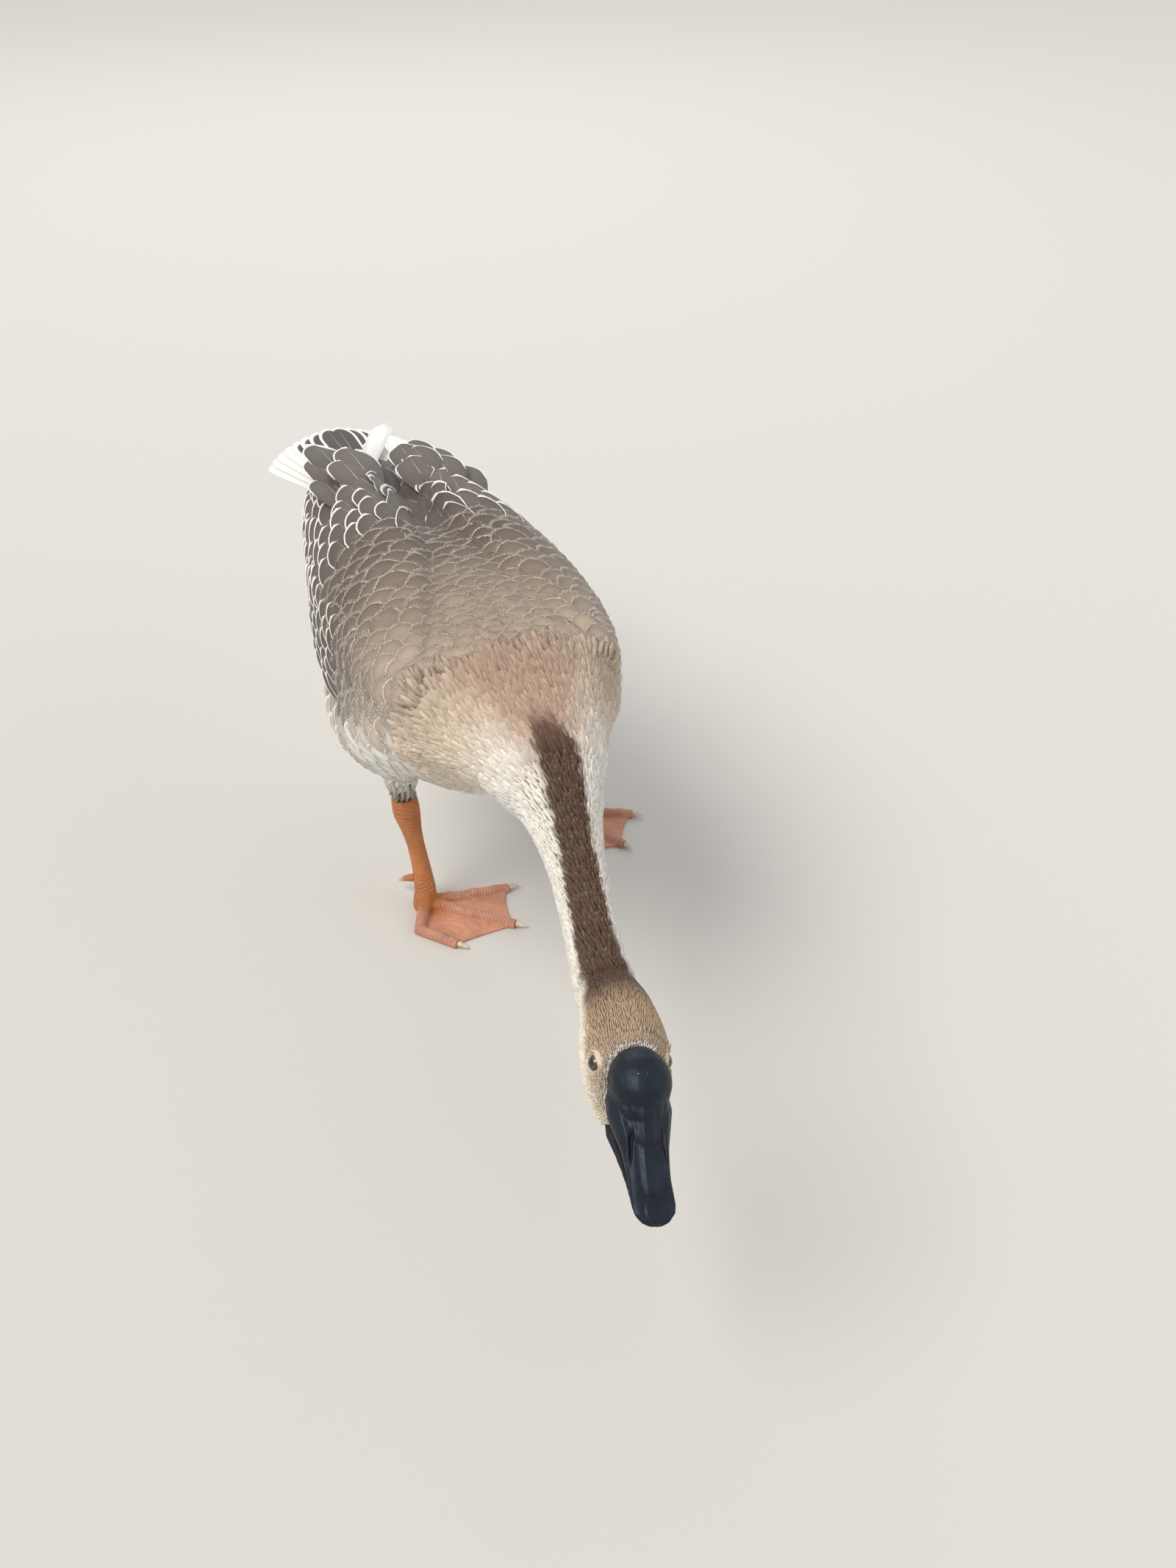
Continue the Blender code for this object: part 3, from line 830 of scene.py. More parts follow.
# Joins vanes to one mesh. span is the part of the body, along y, that the unwrap covers.
def buildVanes(name, feathers, span, material):
    rows, across = vaneSet["along"], vaneSet["across"]
    pattern = vaneFaces(rows, across)
    each = rows * across + rows
    count = len(feathers)
    points = np.zeros((count, each, 3))
    vane = np.zeros((count, each, 2))
    for k, feather in enumerate(feathers):
        grid, spine, stations, widths = vaneShape(feather)
        points[k, : rows * across] = grid.reshape(-1, 3)
        points[k, rows * across :] = spine
        rimLines.setdefault(name, []).append((grid, feather))
        shares = np.linspace(-1, 1, across)
        vane[k, : rows * across, 0] = (shares[None] * widths[:, None] / feather["half"]).ravel()
        vane[k, : rows * across, 1] = np.repeat(stations, across)
        vane[k, rows * across :, 1] = stations
    faces = [tuple(c + k * each for c in face) for k in range(count) for face in pattern]
    mesh = bpy.data.meshes.new(name)
    mesh.from_pydata(points.reshape(-1, 3).tolist(), [], faces)
    mesh.shade_smooth()
    mesh.set_sharp_from_angle(angle=math.radians(50))

    roots = np.array([f["root"] for f in feathers])
    places = unwrapPlaces(roots, *span)
    if "place" in feathers[0]:
        places = np.array([f["place"] for f in feathers])
    room = np.array([f["room"] for f in feathers]) * vaneSet["patch"]
    bake = np.stack([(vane[:, :, 1] - 0.5) * room[:, :1], vane[:, :, 0] / 2 * room[:, 1:]], axis=2)
    setMap(mesh, "vane", vane.reshape(-1, 2))
    setMap(mesh, "OFBake", (bake + places[:, None]).reshape(-1, 2))

    def spread(values):
        return np.repeat(np.asarray(values, float), each, axis=0)

    setAttribute(mesh, "tint", "FLOAT_COLOR", spread([f["tint"] for f in feathers]))
    setAttribute(mesh, "rim", "FLOAT_COLOR", spread([f["rim"] for f in feathers]))
    setAttribute(mesh, "marks", "FLOAT_VECTOR", spread([f["marks"] for f in feathers]))
    form = [(f["cap"], f["length"] / f["half"], f["seed"]) for f in feathers]
    setAttribute(mesh, "form", "FLOAT_VECTOR", spread(form))
    mesh.materials.append(material)
    obj = newObject(name, mesh)
    print(name, count, "feathers,", count * sum(len(f) - 2 for f in pattern), "triangles")
    return obj


# How far chance moves feathers: in gaps, in steps, in shares of the lay and of the size, and by a factor.
chance = {
    "around": 0.1,
    "along": 0.08,
    "turn": 0.06,
    "size": 0.09,
    "curl": 0.0008,
    "tint": (0.9, 1.1),
    "rim": (0.95, 1.04),
    "longTint": (0.92, 1.06),
}


# Rows of feathers over part of the body, front to back, each row shifted by half a feather.
def layZone(zone, dice):
    found = []
    low, high = zone["angles"]
    y, row = zone["start"], 0
    while y < zone["end"]:
        share = ((y - zone["start"]) / (zone["end"] - zone["start"])) ** zone.get("ease", 1.0)

        def at(key):
            first, last = zone[key]
            return first + (last - first) * share

        rise = share * zone.get("rise", 99)
        half, length, step = at("half"), at("length"), at("step")
        gap = math.degrees(at("gap") / (girthAt(y) / 2 / math.pi))
        count = max(1, round((high - low) / gap))
        gap = (high - low) / count
        shift = 0.5 * (row % 2)
        for side, i in product(sides.values(), range(count + 1)):
            angle = low + (i + shift + dice.uniform(-chance["around"], chance["around"])) * gap
            if angle > high + 0.3 * gap:
                continue
            if low == 0 and side < 0 and angle < 0.2 * gap:
                continue
            slant = zone.get("slant", 0.0) * (angle - low) / 60
            place = y + slant + dice.uniform(-chance["along"], chance["along"]) * step
            root, normal = skinAt(place, side * angle)
            if root is None:
                continue
            fan = zone.get("fan", 0.0) * side
            around = normal.cross(Vector((0, 1, 0))).normalized()
            lay = Vector((0, 1, 0)) + around * (dice.uniform(-chance["turn"], chance["turn"]) - fan)
            size = 1 + dice.uniform(-chance["size"], chance["size"])
            feather = {
                "root": root,
                "lay": lay,
                "half": half * size,
                "length": length * size,
                "cap": zone["cap"],
                "lift": (zone["lift"][0], zone["lift"][1] * (0.35 + 0.65 * min(1.0, rise))),
                "lean": zone.get("lean", 0.0) * side,
                "curl": dice.uniform(0, chance["curl"]),
                "dome": vaneSet["dome"],
                "jag": zone.get("jag", 0.0),
                "marks": zone["marks"],
                "seed": dice.random(),
                "angle": side * angle,
                "step": step,
                "gap": gap,
                "dice": dice,
                "rimColour": zone.get("rim", "white"),
                "rimShare": zone["rimShare"] * min(1.0, 0.3 + rise),
            }
            found.append(feather)
        y += step
        row += 1
    return found


# Gives each feather the coat's colour at its tip, and a paler rim.
def colourFeathers(feathers, dice):
    tips = np.array([np.array(f["root"]) + (0, f["length"] * 0.75, 0) for f in feathers])
    tints = plumage(tips, np.array([f["angle"] for f in feathers]))
    for f, tint in zip(feathers, tints):
        f["tint"] = limited(tint * dice.uniform(*chance["tint"]))
        rim = tint * (1 - f["rimShare"]) + colours[f["rimColour"]] * f["rimShare"]
        f["rim"] = limited(rim * dice.uniform(*chance["rim"]))


def unwrapRooms(feathers, span):
    for f in feathers:
        f["room"] = (unwrapSet["size"] * f["step"] / (span[1] - span[0]), unwrapSet["size"] * f["gap"] / 360)


# How vanes are marked. Widths are in half widths of the vane, lights are factors of its tint.
vaneLook = {
    "barbLean": 0.75,  # how far barbs run towards the tip on their way out
    "barbWidth": 0.09,  # the barbs' noise is this much finer along the vane than across it
    "splitWidth": 0.4,
    "splits": 9.0,  # how closely the rim is split, and how deep against its small teeth
    "splitDepth": 0.7,
    "teeth": 24.0,
    "rimSoft": 0.62,  # where the rim's full width begins
    "middle": (0.62, 1.06),  # how far in the middle is at its lightest, and its light
    "root": (0.25, 0.72, 0.82),  # from where to where the shade of the hidden root ends, and its light
    "shaft": (1.05, 0.045),  # where the shaft would end, and its width
    "shaftHeight": 0.8,
}


# A shader group for vanes: a pale rim, barbs, a thin shaft, and shade towards the root.
def vaneMarks():
    inputs = {"Barbs": "Float", "Contrast": "Float", "Shade": "Float"}
    tree, given, made = newGroup("vaneMarks", inputs, {"Color": "Color", "Height": "Float"})
    x, y = splitVector(tree, addNode(tree, "ShaderNodeUVMap", uv_map="vane").outputs["UV"])[:2]
    cap, ratio, seed = splitVector(tree, attribute(tree, "form", "Vector"))
    edge, ragged, shaft = splitVector(tree, attribute(tree, "marks", "Vector"))
    aside = calc(tree, "ABSOLUTE", x)
    # distance from the rim, in half widths
    beyond = calc(tree, "DIVIDE", minus(tree, y, cap), minus(tree, 1.0, cap))
    beyond = calc(tree, "MAXIMUM", beyond, 0.0)
    reach = plus(tree, calc(tree, "POWER", aside, 2.0), calc(tree, "POWER", beyond, 2.0))
    inward = minus(tree, 1.0, calc(tree, "SQRT", reach))
    # barbs run outward and towards the tip
    along = minus(tree, times(tree, y, ratio), times(tree, aside, vaneLook["barbLean"]))
    seedShift = times(tree, seed, 53.0)
    lane = joinVector(tree, along, times(tree, x, vaneLook["barbWidth"]), seedShift)
    barb = noise(tree, lane, given.outputs["Barbs"], 2.0, 0.6)
    wide = joinVector(tree, along, times(tree, calc(tree, "SIGN", x), vaneLook["splitWidth"]), seedShift)
    split = minus(tree, noise(tree, wide, vaneLook["splits"], 2.0, 0.7), 0.5)
    tooth = minus(tree, noise(tree, wide, vaneLook["teeth"], 1.0), 0.5)
    tooth = plus(tree, tooth, times(tree, split, vaneLook["splitDepth"]))
    border = plus(tree, edge, times(tree, tooth, ragged))
    rim = ramp(tree, inward, times(tree, border, vaneLook["rimSoft"]), border, 1.0, 0.0)
    # the middle darkens towards the rim, partly the feather's own darker band and partly painted shade under
    # the rim, and darkens in painted shade towards the hidden root
    deep, light = vaneLook["middle"]
    inner = ramp(tree, inward, 0.0, deep, given.outputs["Shade"], light)
    start, end, dark = vaneLook["root"]
    rooted = ramp(tree, y, start, end, dark, 1.0)
    streak = plus(tree, 1.0, times(tree, minus(tree, barb, 0.5), given.outputs["Contrast"]))
    body = shade(tree, attribute(tree, "tint", "Color"), times(tree, times(tree, inner, rooted), streak))
    pale = attribute(tree, "rim", "Color")
    end, width = vaneLook["shaft"]
    shaftWidth = times(tree, minus(tree, end, y), width)
    onShaft = times(tree, ramp(tree, aside, 0.0, shaftWidth, 1.0, 0.0), shaft)
    colour = mixColour(tree, onShaft, mixColour(tree, rim, body, pale), pale)
    giveOut(tree, made, Color=colour, Height=plus(tree, barb, times(tree, onShaft, vaneLook["shaftHeight"])))
    return tree


vaneGroup = vaneMarks()


def vaneMaterial(name, barbs, contrast, roughness, sheen, shadow):
    fixed = {"Sheen Weight": sheen, "Sheen Roughness": 0.4, "Specular IOR Level": 0.35}
    material, tree, shader = newMaterial(name, fixed)
    inputs = {"Barbs": barbs, "Contrast": contrast, "Shade": shadow}
    marks = addNode(tree, "ShaderNodeGroup", inputs, node_tree=vaneGroup).outputs
    rough = ramp(tree, marks["Height"], 0.2, 0.8, roughness + 0.06, roughness - 0.06)
    linkSurface(tree, shader, marks["Color"], rough, (marks["Height"], 0.5, 0.0006))
    return material


coverMaterial = vaneMaterial("coverFeathers", 30.0, 0.3, 0.62, 0.15, 0.84)
softMaterial = vaneMaterial("softFeathers", 22.0, 0.26, 0.78, 0.25, 0.76)


# ---- the coat's vanes, zone by zone ----
# half, length, step and gap go from their first value at the zone's front to the second at its end: half
# width, length, from row to row, and from feather to feather in a row. ease bends that growth.
# angles are the zone's first and last place round the body. cap is where the rounded tip begins, lift is how
# high root and tip lie over the skin, and rise is how soon the lift is full along the zone.
# marks are the rim's width and raggedness in half widths, and how clear the shaft is. rimShare is how pale
# the rim is. jag makes the edges uneven, lean tilts a feather sideways, fan turns it up or down, and slant
# shifts a row along the body for each 60 degrees round it.
zones = {
    "breast": {
        "start": shoulder - 0.074, "end": shoulder + 0.045, "angles": (60, 180), "ease": 0.6,
        "half": (0.0095, 0.0165), "length": (0.024, 0.04), "step": (0.0055, 0.0088), "gap": (0.013, 0.0215),
        "cap": 0.6, "lift": (0.0004, 0.006), "marks": (0.14, 0.22, 0.0), "rimShare": 0.62,
        "jag": 0.1, "rise": 2.2,
    },
    "furrow": {
        "start": shoulder + 0.105, "end": rump - 0.01, "angles": (0, 14),
        "half": (0.013, 0.015), "length": (0.044, 0.056), "step": (0.015, 0.018), "gap": (0.013, 0.013),
        "cap": 0.6, "lift": (0.0004, 0.0032), "marks": (0.05, 0.05, 0.0), "rimShare": 0.1, "jag": 0.04,
    },
    "mantle": {
        "start": shoulder - 0.076, "end": shoulder + 0.128, "angles": (0, 68), "ease": 0.55,
        "half": (0.0095, 0.019), "length": (0.022, 0.05), "step": (0.0052, 0.0098), "gap": (0.013, 0.025),
        "cap": 0.6, "lift": (0.0004, 0.0066), "marks": (0.075, 0.14, 0.0), "rimShare": 0.8,
        "rim": "paleRim", "jag": 0.09, "slant": -0.012, "rise": 2.2,
    },
    "scapular": {
        "start": shoulder + 0.1, "end": shoulder + 0.3, "angles": (5, 58),
        "half": (0.0195, 0.024), "length": (0.062, 0.09), "step": (0.0175, 0.03), "gap": (0.0165, 0.019),
        "cap": 0.58, "lift": (0.0006, 0.007), "marks": (0.074, 0.035, 0.45), "rimShare": 0.95,
        "lean": -0.0028, "fan": 0.12, "jag": 0.02,
    },
    "covert": {
        "start": shoulder + 0.03, "end": rump - 0.125, "angles": (56, 86),
        "half": (0.0125, 0.0165), "length": (0.046, 0.072), "step": (0.0185, 0.029), "gap": (0.0112, 0.0128),
        "cap": 0.66, "lift": (0.0006, 0.0062), "marks": (0.09, 0.05, 0.15), "rimShare": 0.88,
        "lean": -0.0026, "fan": -0.04, "jag": 0.03,
    },
    "secondary": {
        "start": shoulder + 0.06, "end": rump - 0.09, "angles": (86, 97),
        "half": (0.01, 0.015), "length": (0.036, 0.058), "step": (0.013, 0.018), "gap": (0.012, 0.014),
        "cap": 0.8, "lift": (0.0006, 0.0056), "marks": (0.1, 0.03, 0.2), "rimShare": 1.0, "fan": -0.1,
    },
    "flank": {
        "start": shoulder - 0.01, "end": shoulder + 0.3, "angles": (99, 140),
        "half": (0.013, 0.0165), "length": (0.038, 0.056), "step": (0.012, 0.0165), "gap": (0.017, 0.02),
        "cap": 0.6, "lift": (0.0004, 0.0058), "marks": (0.26, 0.1, 0.0), "rimShare": 0.9, "fan": -0.12,
    },
    "belly": {
        "start": shoulder + 0.045, "end": rump - 0.004, "angles": (136, 180),
        "half": (0.013, 0.016), "length": (0.036, 0.046), "step": (0.0125, 0.016), "gap": (0.017, 0.02),
        "cap": 0.6, "lift": (0.0004, 0.0052), "marks": (0.3, 0.2, 0.0), "rimShare": 0.6,
    },
    "rear": {
        "start": rump - 0.15, "end": rump + 0.000, "angles": (84, 146),
        "half": (0.013, 0.015), "length": (0.042, 0.05), "step": (0.014, 0.016), "gap": (0.016, 0.016),
        "cap": 0.6, "lift": (0.0004, 0.005), "marks": (0.3, 0.2, 0.0), "rimShare": 0.6,
    },
}
softZones = ("breast", "mantle", "belly", "flank", "rear")
zoneSlots = {
    "breast": "feathers_cream",
    "mantle": "feathers_cream",
    "belly": "feathers_white",
    "rear": "feathers_white",
}
thighBoxes = [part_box(f"thigh_{side}") for side in sides]
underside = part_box("trunk")[0].z + 0.006


# True for a feather that starts where a thigh leaves the body, or would run down over the thigh.
def onThigh(feather):
    path = walkSkin(feather["root"], feather["lay"], feather["length"], (0.0, 0.35, 0.7, 1.0))[0]
    for low, high in thighBoxes:
        for i, point in enumerate(path):
            abreast = low.x - 0.006 < point.x < high.x + 0.006
            level = low.y - 0.004 < point.y < high.y + 0.004
            if abreast and level and point.z < (underside if i else high.z - 0.01):
                return True
    return False


def makeCoat():
    made = []
    for name, zone in zones.items():
        dice = random.Random(f"goose {name}")
        feathers = [f for f in layZone(zone, dice) if not onThigh(f)]
        colourFeathers(feathers, dice)
        span = (zone["start"] - 0.03, zone["end"] + 0.03)
        unwrapRooms(feathers, span)
        material = softMaterial if name in softZones else coverMaterial
        piece = buildVanes(name + "Feathers", feathers, span, material)
        zoneSlots.get(name, "feathers_grey")
        made.append(piece)
    return made


coat = makeCoat()


# ---- long feathers: tail, its coverts, the last wing feathers and the white crossing quills ----
tailSet = {
    "count": 16,
    "half": 0.0135,
    "length": 0.15,
    "shorter": 0.034,  # how much shorter the outer ones are
    "fan": 21.0,
    "spread": 0.03,
    "layer": 0.0011,  # how much lower each pair lies than the one inside it
    "cap": 0.78,
}
tailCovertSet = {"count": 9, "half": 0.0115, "cap": 0.6}
# The last wing feathers: the tip's distance from the furrow and from the rump, half width, length, and how
# high the tip lies over the skin.
lastFeathers = {
    "right": (
        (0.066, -0.134, 0.018, 0.09, 0.007),
        (0.06, -0.075, 0.0175, 0.1, 0.0075),
        (0.043, -0.115, 0.0195, 0.095, 0.0095),
        (0.05, -0.034, 0.019, 0.11, 0.009),
        (0.03, -0.078, 0.019, 0.105, 0.011),
        (0.02, -0.036, 0.0185, 0.11, 0.0125),
        (0.016, -0.1, 0.019, 0.095, 0.0125),
    ),
    "left": (
        (0.056, -0.15, 0.017, 0.09, 0.006),
        (0.04, -0.135, 0.018, 0.09, 0.0085),
        (0.046, -0.088, 0.0165, 0.1, 0.008),
        (0.027, -0.104, 0.017, 0.095, 0.01),
        (0.033, -0.066, 0.016, 0.1, 0.009),
        (0.016, -0.13, 0.018, 0.085, 0.0115),
        (0.018, -0.084, 0.016, 0.095, 0.0105),
    ),
}
# The white quills: root and tip, each by its distance from the furrow, positive on the left, its distance
# from the rump and its height. Then the half width.
whiteQuills = {
    "crossing": ((-0.01, -0.062, 0.302), (0.037, 0.035, 0.309), 0.0105),
    "outerPoint": ((-0.02, -0.04, 0.296), (-0.049, 0.034, 0.29), 0.0062),
    "innerPoint": ((-0.014, -0.036, 0.3), (-0.04, 0.05, 0.293), 0.006),
    "underQuill": ((0.018, -0.05, 0.296), (0.014, 0.02, 0.299), 0.009),
}


def skinTop(point):
    hit = skinTree.ray_cast(Vector((point[0], point[1], 0.6)), Vector((0, 0, -1)))[0]
    return hit.z if hit else 0.3


def behind(aside, back, height):
    y = rump + back
    return Vector((float(cleftMiddle(min(y, rump - 0.05))) + aside, y, height))


# One feather held by its two ends instead of by the skin.
def freeFeather(root, tip, half, cap, dice, **more):
    run = Vector(tip) - Vector(root)
    feather = {
        "root": Vector(root),
        "tip": Vector(tip),
        "up": Vector((0, 0, 1)),
        "length": run.length,
        "half": half,
        "cap": cap,
        "lift": (0.0, 0.0),
        "bow": 0.003,
        "dome": 0.0016,
        "marks": (0.06, 0.03, 0.6),
        "seed": dice.random(),
        "dice": dice,
        "tint": colours["taupe"] * dice.uniform(*chance["longTint"]),
        "rim": colours["white"],
    }
    feather.update(more)
    return feather


# Gives each feather a patch of its own on the unwrap, in a square of cells.
def ownPatches(feathers):
    side = math.ceil(math.sqrt(len(feathers)))
    for i, f in enumerate(feathers):
        f["place"] = (((i % side) + 0.5) / side, ((i // side) + 0.5) / side)
        f["room"] = (1 / side, 1 / side)
    return feathers


def makeTail(dice):
    low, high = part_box("tail")
    middle = (low.x + high.x) / 2
    feathers = []
    # the outer feathers lie lowest, the middle pair on top
    centre = (tailSet["count"] - 1) / 2
    for k in sorted(range(tailSet["count"]), key=lambda k: -abs(k - centre)):
        share = (k - centre) / centre
        turn = math.radians(tailSet["fan"] * share)
        length = tailSet["length"] - tailSet["shorter"] * share * share
        level = high.z - 0.003 - tailSet["layer"] * abs(share) * tailSet["count"] / 2
        root = Vector((middle + tailSet["spread"] * share, high.y - tailSet["length"], level - 0.002))
        tip = root + Vector((math.sin(turn) * length, math.cos(turn) * length, 0.002 - 0.004 * abs(share)))
        dark = abs(share) < 0.5
        tint = colours["darkTaupe"] * dice.uniform(*chance["longTint"]) if dark else colours["white"]
        look = {"marks": (0.22 + 0.4 * abs(share), 0.04, 1.0), "tint": tint, "bow": 0.002, "dome": 0.001}
        feathers.append(freeFeather(root, tip, tailSet["half"], tailSet["cap"], dice, **look))
    return feathers


# Coverts of the tail, two rows over its root and three under it. They start at the first place behind the
# rump and at the first height. Then their length, their tips' height and the row's half width.
def tailCovertRows(low, high):
    return (
        (-0.052, 0.3, 0.062, high.z + 0.004, 0.034),
        (-0.04, 0.294, 0.07, high.z + 0.002, 0.038),
        (-0.07, low.z + 0.002, 0.118, low.z - 0.004, 0.046),
        (-0.066, low.z - 0.01, 0.092, low.z - 0.007, 0.05),
        (-0.06, low.z - 0.022, 0.066, low.z - 0.012, 0.05),
    )


def makeTailCoverts(dice):
    low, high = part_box("tail")
    middle = (low.x + high.x) / 2
    feathers = []
    centre = (tailCovertSet["count"] - 1) / 2
    for row, (start, level, reach, end, wide) in enumerate(tailCovertRows(low, high)):
        for k in range(tailCovertSet["count"]):
            share = (k - centre + 0.5 * (row % 2)) / centre
            root = Vector((middle + wide * 0.75 * share, rump + start, level - 0.014 * share * share))
            length = reach * (1 - 0.2 * share * share) * dice.uniform(0.92, 1.08)
            tip = Vector((middle + wide * share, root.y + length, end - 0.008 * share * share))
            look = {"marks": (0.2, 0.2, 0.0), "jag": 0.06, "bow": 0.004}
            look["up"] = Vector((0, 0, 1 if row < 2 else -1))
            look["tint"] = limited(colours["white"] * dice.uniform(0.93, 1.02))
            feathers.append(freeFeather(root, tip, tailCovertSet["half"], tailCovertSet["cap"], dice, **look))
    return feathers


def makeLastFeathers(dice):
    feathers = []
    for side, rows in lastFeathers.items():
        for aside, back, half, length, height in rows:
            root = behind(sides[side] * aside * 0.9, back - length, 0.0)
            tip = behind(sides[side] * aside, back, 0.0)
            root.z = skinTop(root) - 0.001
            tip.z = max(skinTop(tip) + height, root.z + height - 0.17 * length)
            middle = (root + tip) / 2
            bow = max(0.002, skinTop(middle) + 0.005 - middle.z)
            look = {"bow": bow, "lean": -0.0026 * sides[side], "marks": (0.095, 0.03, 0.6), "dome": 0.002}
            feathers.append(freeFeather(root, tip, half, 0.66, dice, **look))
    return feathers


def makeQuills(dice):
    feathers = []
    for name, (root, tip, half) in whiteQuills.items():
        cap = 0.35 if "Point" in name else 0.72
        look = {"marks": (0.1, 0.0, 0.6), "bow": 0.006}
        look["tint"] = limited(colours["white"] * dice.uniform(0.98, 1.03))
        feathers.append(freeFeather(behind(*root), behind(*tip), half, cap, dice, **look))
    return feathers


def makeLongFeathers():
    dice = random.Random("goose tail")
    made = []
    plan = (
        ("tailFeathers", makeTail, ("tail",), "feathers_grey"),
        ("tailCoverts", makeTailCoverts, (), "feathers_white"),
        ("lastWingFeathers", makeLastFeathers, (), "feathers_grey"),
        ("wingTipFeathers", makeQuills, ("wing_tip_left", "wing_tip_right"), "feathers_white"),
    )
    for name, maker, nodes, slot in plan:
        piece = buildVanes(name, ownPatches(maker(dice)), (0, 1), coverMaterial)
        if nodes:
            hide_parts(*nodes)
        made.append(piece)
    return made


coat += makeLongFeathers()


# ---- tufts: short feathers on head, neck and thighs, laid by Geometry Nodes ----
# One closed blade, a unit long and wide. rings are (place, half width).
def bladeShape(name, rings, peak, rise):
    points, faces = [], []
    for t, half in rings:
        z = rise * math.sin(t * math.pi * 0.62) - 0.02
        points += [(-half, t, z), (0, t, z + peak * half), (half, t, z)]
    points.append((0, 1.0, rise * math.sin(math.pi * 0.62) - 0.02))
    last = len(points) - 1
    faces.append((0, 2, 1))
    for r in range(len(rings) - 1):
        for k in range(3):
            a, b = 3 * r + k, 3 * r + (k + 1) % 3
            faces.append((a, b, b + 3, a + 3))
    top = 3 * (len(rings) - 1)
    faces += [(top + k, top + (k + 1) % 3, last) for k in range(3)]
    mesh = bpy.data.meshes.new(name)
    mesh.from_pydata(points, [], faces)
    turnFacesOut(mesh)
    mesh.shade_smooth()
    setMap(mesh, "vane", [(p[0] * 2, p[1]) for p in points])
    return newObject(name, mesh)


# Geometry Nodes that put one shape on each point, turned and sized by the point's attributes.
def placingTree():
    inputs = {"Points": "Geometry", "Shape": "Object", "Finish": "Material"}
    tree, given, made = newGroup("placeShapes", inputs, {"Result": "Geometry"}, "GeometryNodeTree")

    def named(name):
        node = addNode(tree, "GeometryNodeInputNamedAttribute", data_type="FLOAT_VECTOR")
        node.inputs["Name"].default_value = name
        return node.outputs["Attribute"]

    stand = addNode(tree, "FunctionNodeAlignRotationToVector", {"Vector": named("upward")}, axis="Z")
    turned = {"Rotation": stand.outputs[0], "Vector": named("lay")}
    turn = addNode(tree, "FunctionNodeAlignRotationToVector", turned, axis="Y", pivot_axis="Z")
    shape = addNode(tree, "GeometryNodeObjectInfo", {"Object": given.outputs["Shape"], "As Instance": True})
    inputs = {
        "Points": given.outputs["Points"],
        "Instance": shape.outputs["Geometry"],
        "Rotation": turn.outputs[0],
        "Scale": named("size"),
    }
    placed = addNode(tree, "GeometryNodeInstanceOnPoints", inputs)
    real = addNode(tree, "GeometryNodeRealizeInstances", {"Geometry": placed.outputs[0]})
    inputs = {"Geometry": real.outputs[0], "Material": given.outputs["Finish"]}
    giveOut(tree, made, Result=addNode(tree, "GeometryNodeSetMaterial", inputs).outputs[0])
    return tree


placeShapes = placingTree()


# Sets a Geometry Nodes modifier's input by its socket's identifier.
def setInput(modifier, label, value):
    for socket in modifier.node_group.interface.items_tree:
        if socket.item_type == "SOCKET" and socket.in_out == "INPUT" and socket.name == label:
            modifier[socket.identifier] = value


# A plain mesh with the shape at every point. vectors has upward, lay and size for each.
def placeOnPoints(name, points, vectors, tints, shape, material):
    mesh = bpy.data.meshes.new(name + "Points")
    mesh.from_pydata([tuple(p) for p in points], [], [])
    for key, values in vectors.items():
        setAttribute(mesh, key, "FLOAT_VECTOR", values)
    for key, values in tints.items():
        setAttribute(mesh, key, "FLOAT_COLOR", values)
    holder = newObject(name + "Points", mesh)
    modifier = holder.modifiers.new("place", "NODES")
    modifier.node_group = placeShapes
    setInput(modifier, "Shape", shape)
    setInput(modifier, "Finish", material)
    result = meshOf(holder)
    holder.modifiers.clear()
    dropObject(holder)
    for key in ("upward", "lay", "size"):
        if key in result.attributes:
            result.attributes.remove(result.attributes[key])
    result.name = name
    obj = newObject(name, result)
    print(name, len(points), "shapes,", sum(len(p.vertices) - 2 for p in result.polygons), "triangles")
    return obj


# Where each tuft's root lies on an unwrap that reaches a margin past the first and last of them.
def rootPlaces(points, margin):
    along = np.array(points)[:, 1]
    places = unwrapPlaces(points, along.min() - margin, along.max() + margin)
    return np.concatenate([places, np.zeros((len(places), 1))], axis=1)


# OFBake: each tuft is a small patch at its root's place on the unwrap.
def patchMap(mesh, across):
    vane = valuesOf(mesh.uv_layers["vane"].uv, "vector", 2)
    roots = valuesOf(mesh.attributes["rootPlace"].data, "vector")[cornersOf(mesh), :2]
    patch = np.stack([(vane[:, 1] - 0.5) * across, vane[:, 0] / 2 * across], axis=1)
    layer = mesh.uv_layers.new(name="OFBake")
    layer.uv.foreach_set("vector", (roots + patch).astype(np.float32).ravel())


# Places spread over the skin, no two closer than spacing. wanted picks faces by their middles.
def scatter(wanted, spacing, seed):
    faces = skin.data.polygons
    areas = valuesOf(faces, "area", 1).ravel()
    chosen = np.nonzero(wanted(valuesOf(faces, "center")))[0]
    chance = areas[chosen] / areas[chosen].sum()
    draw = np.random.default_rng(seed)
    tries = int(areas[chosen].sum() / spacing**2 * 4)
    picks = chosen[draw.choice(len(chosen), tries, p=chance)]
    kept, cells = [], {}
    for pick, shares in zip(picks, draw.random((tries, 12)) + 0.05):
        corners = skinPoints[list(faces[pick].vertices)]
        shares = shares[: len(corners)]
        point = (corners * shares[:, None]).sum(axis=0) / shares.sum()
        cell = tuple(np.floor(point / spacing).astype(int))
        around = product(*((at - 1, at, at + 1) for at in cell))
        gaps = [point - other for place in around for other in cells.get(place, ())]
        if any(gap @ gap < spacing * spacing for gap in gaps):
            continue
        cells.setdefault(cell, []).append(point)
        kept.append((point, softNormals[pick]))
    return np.array([k[0] for k in kept]), np.array([k[1] for k in kept]), draw


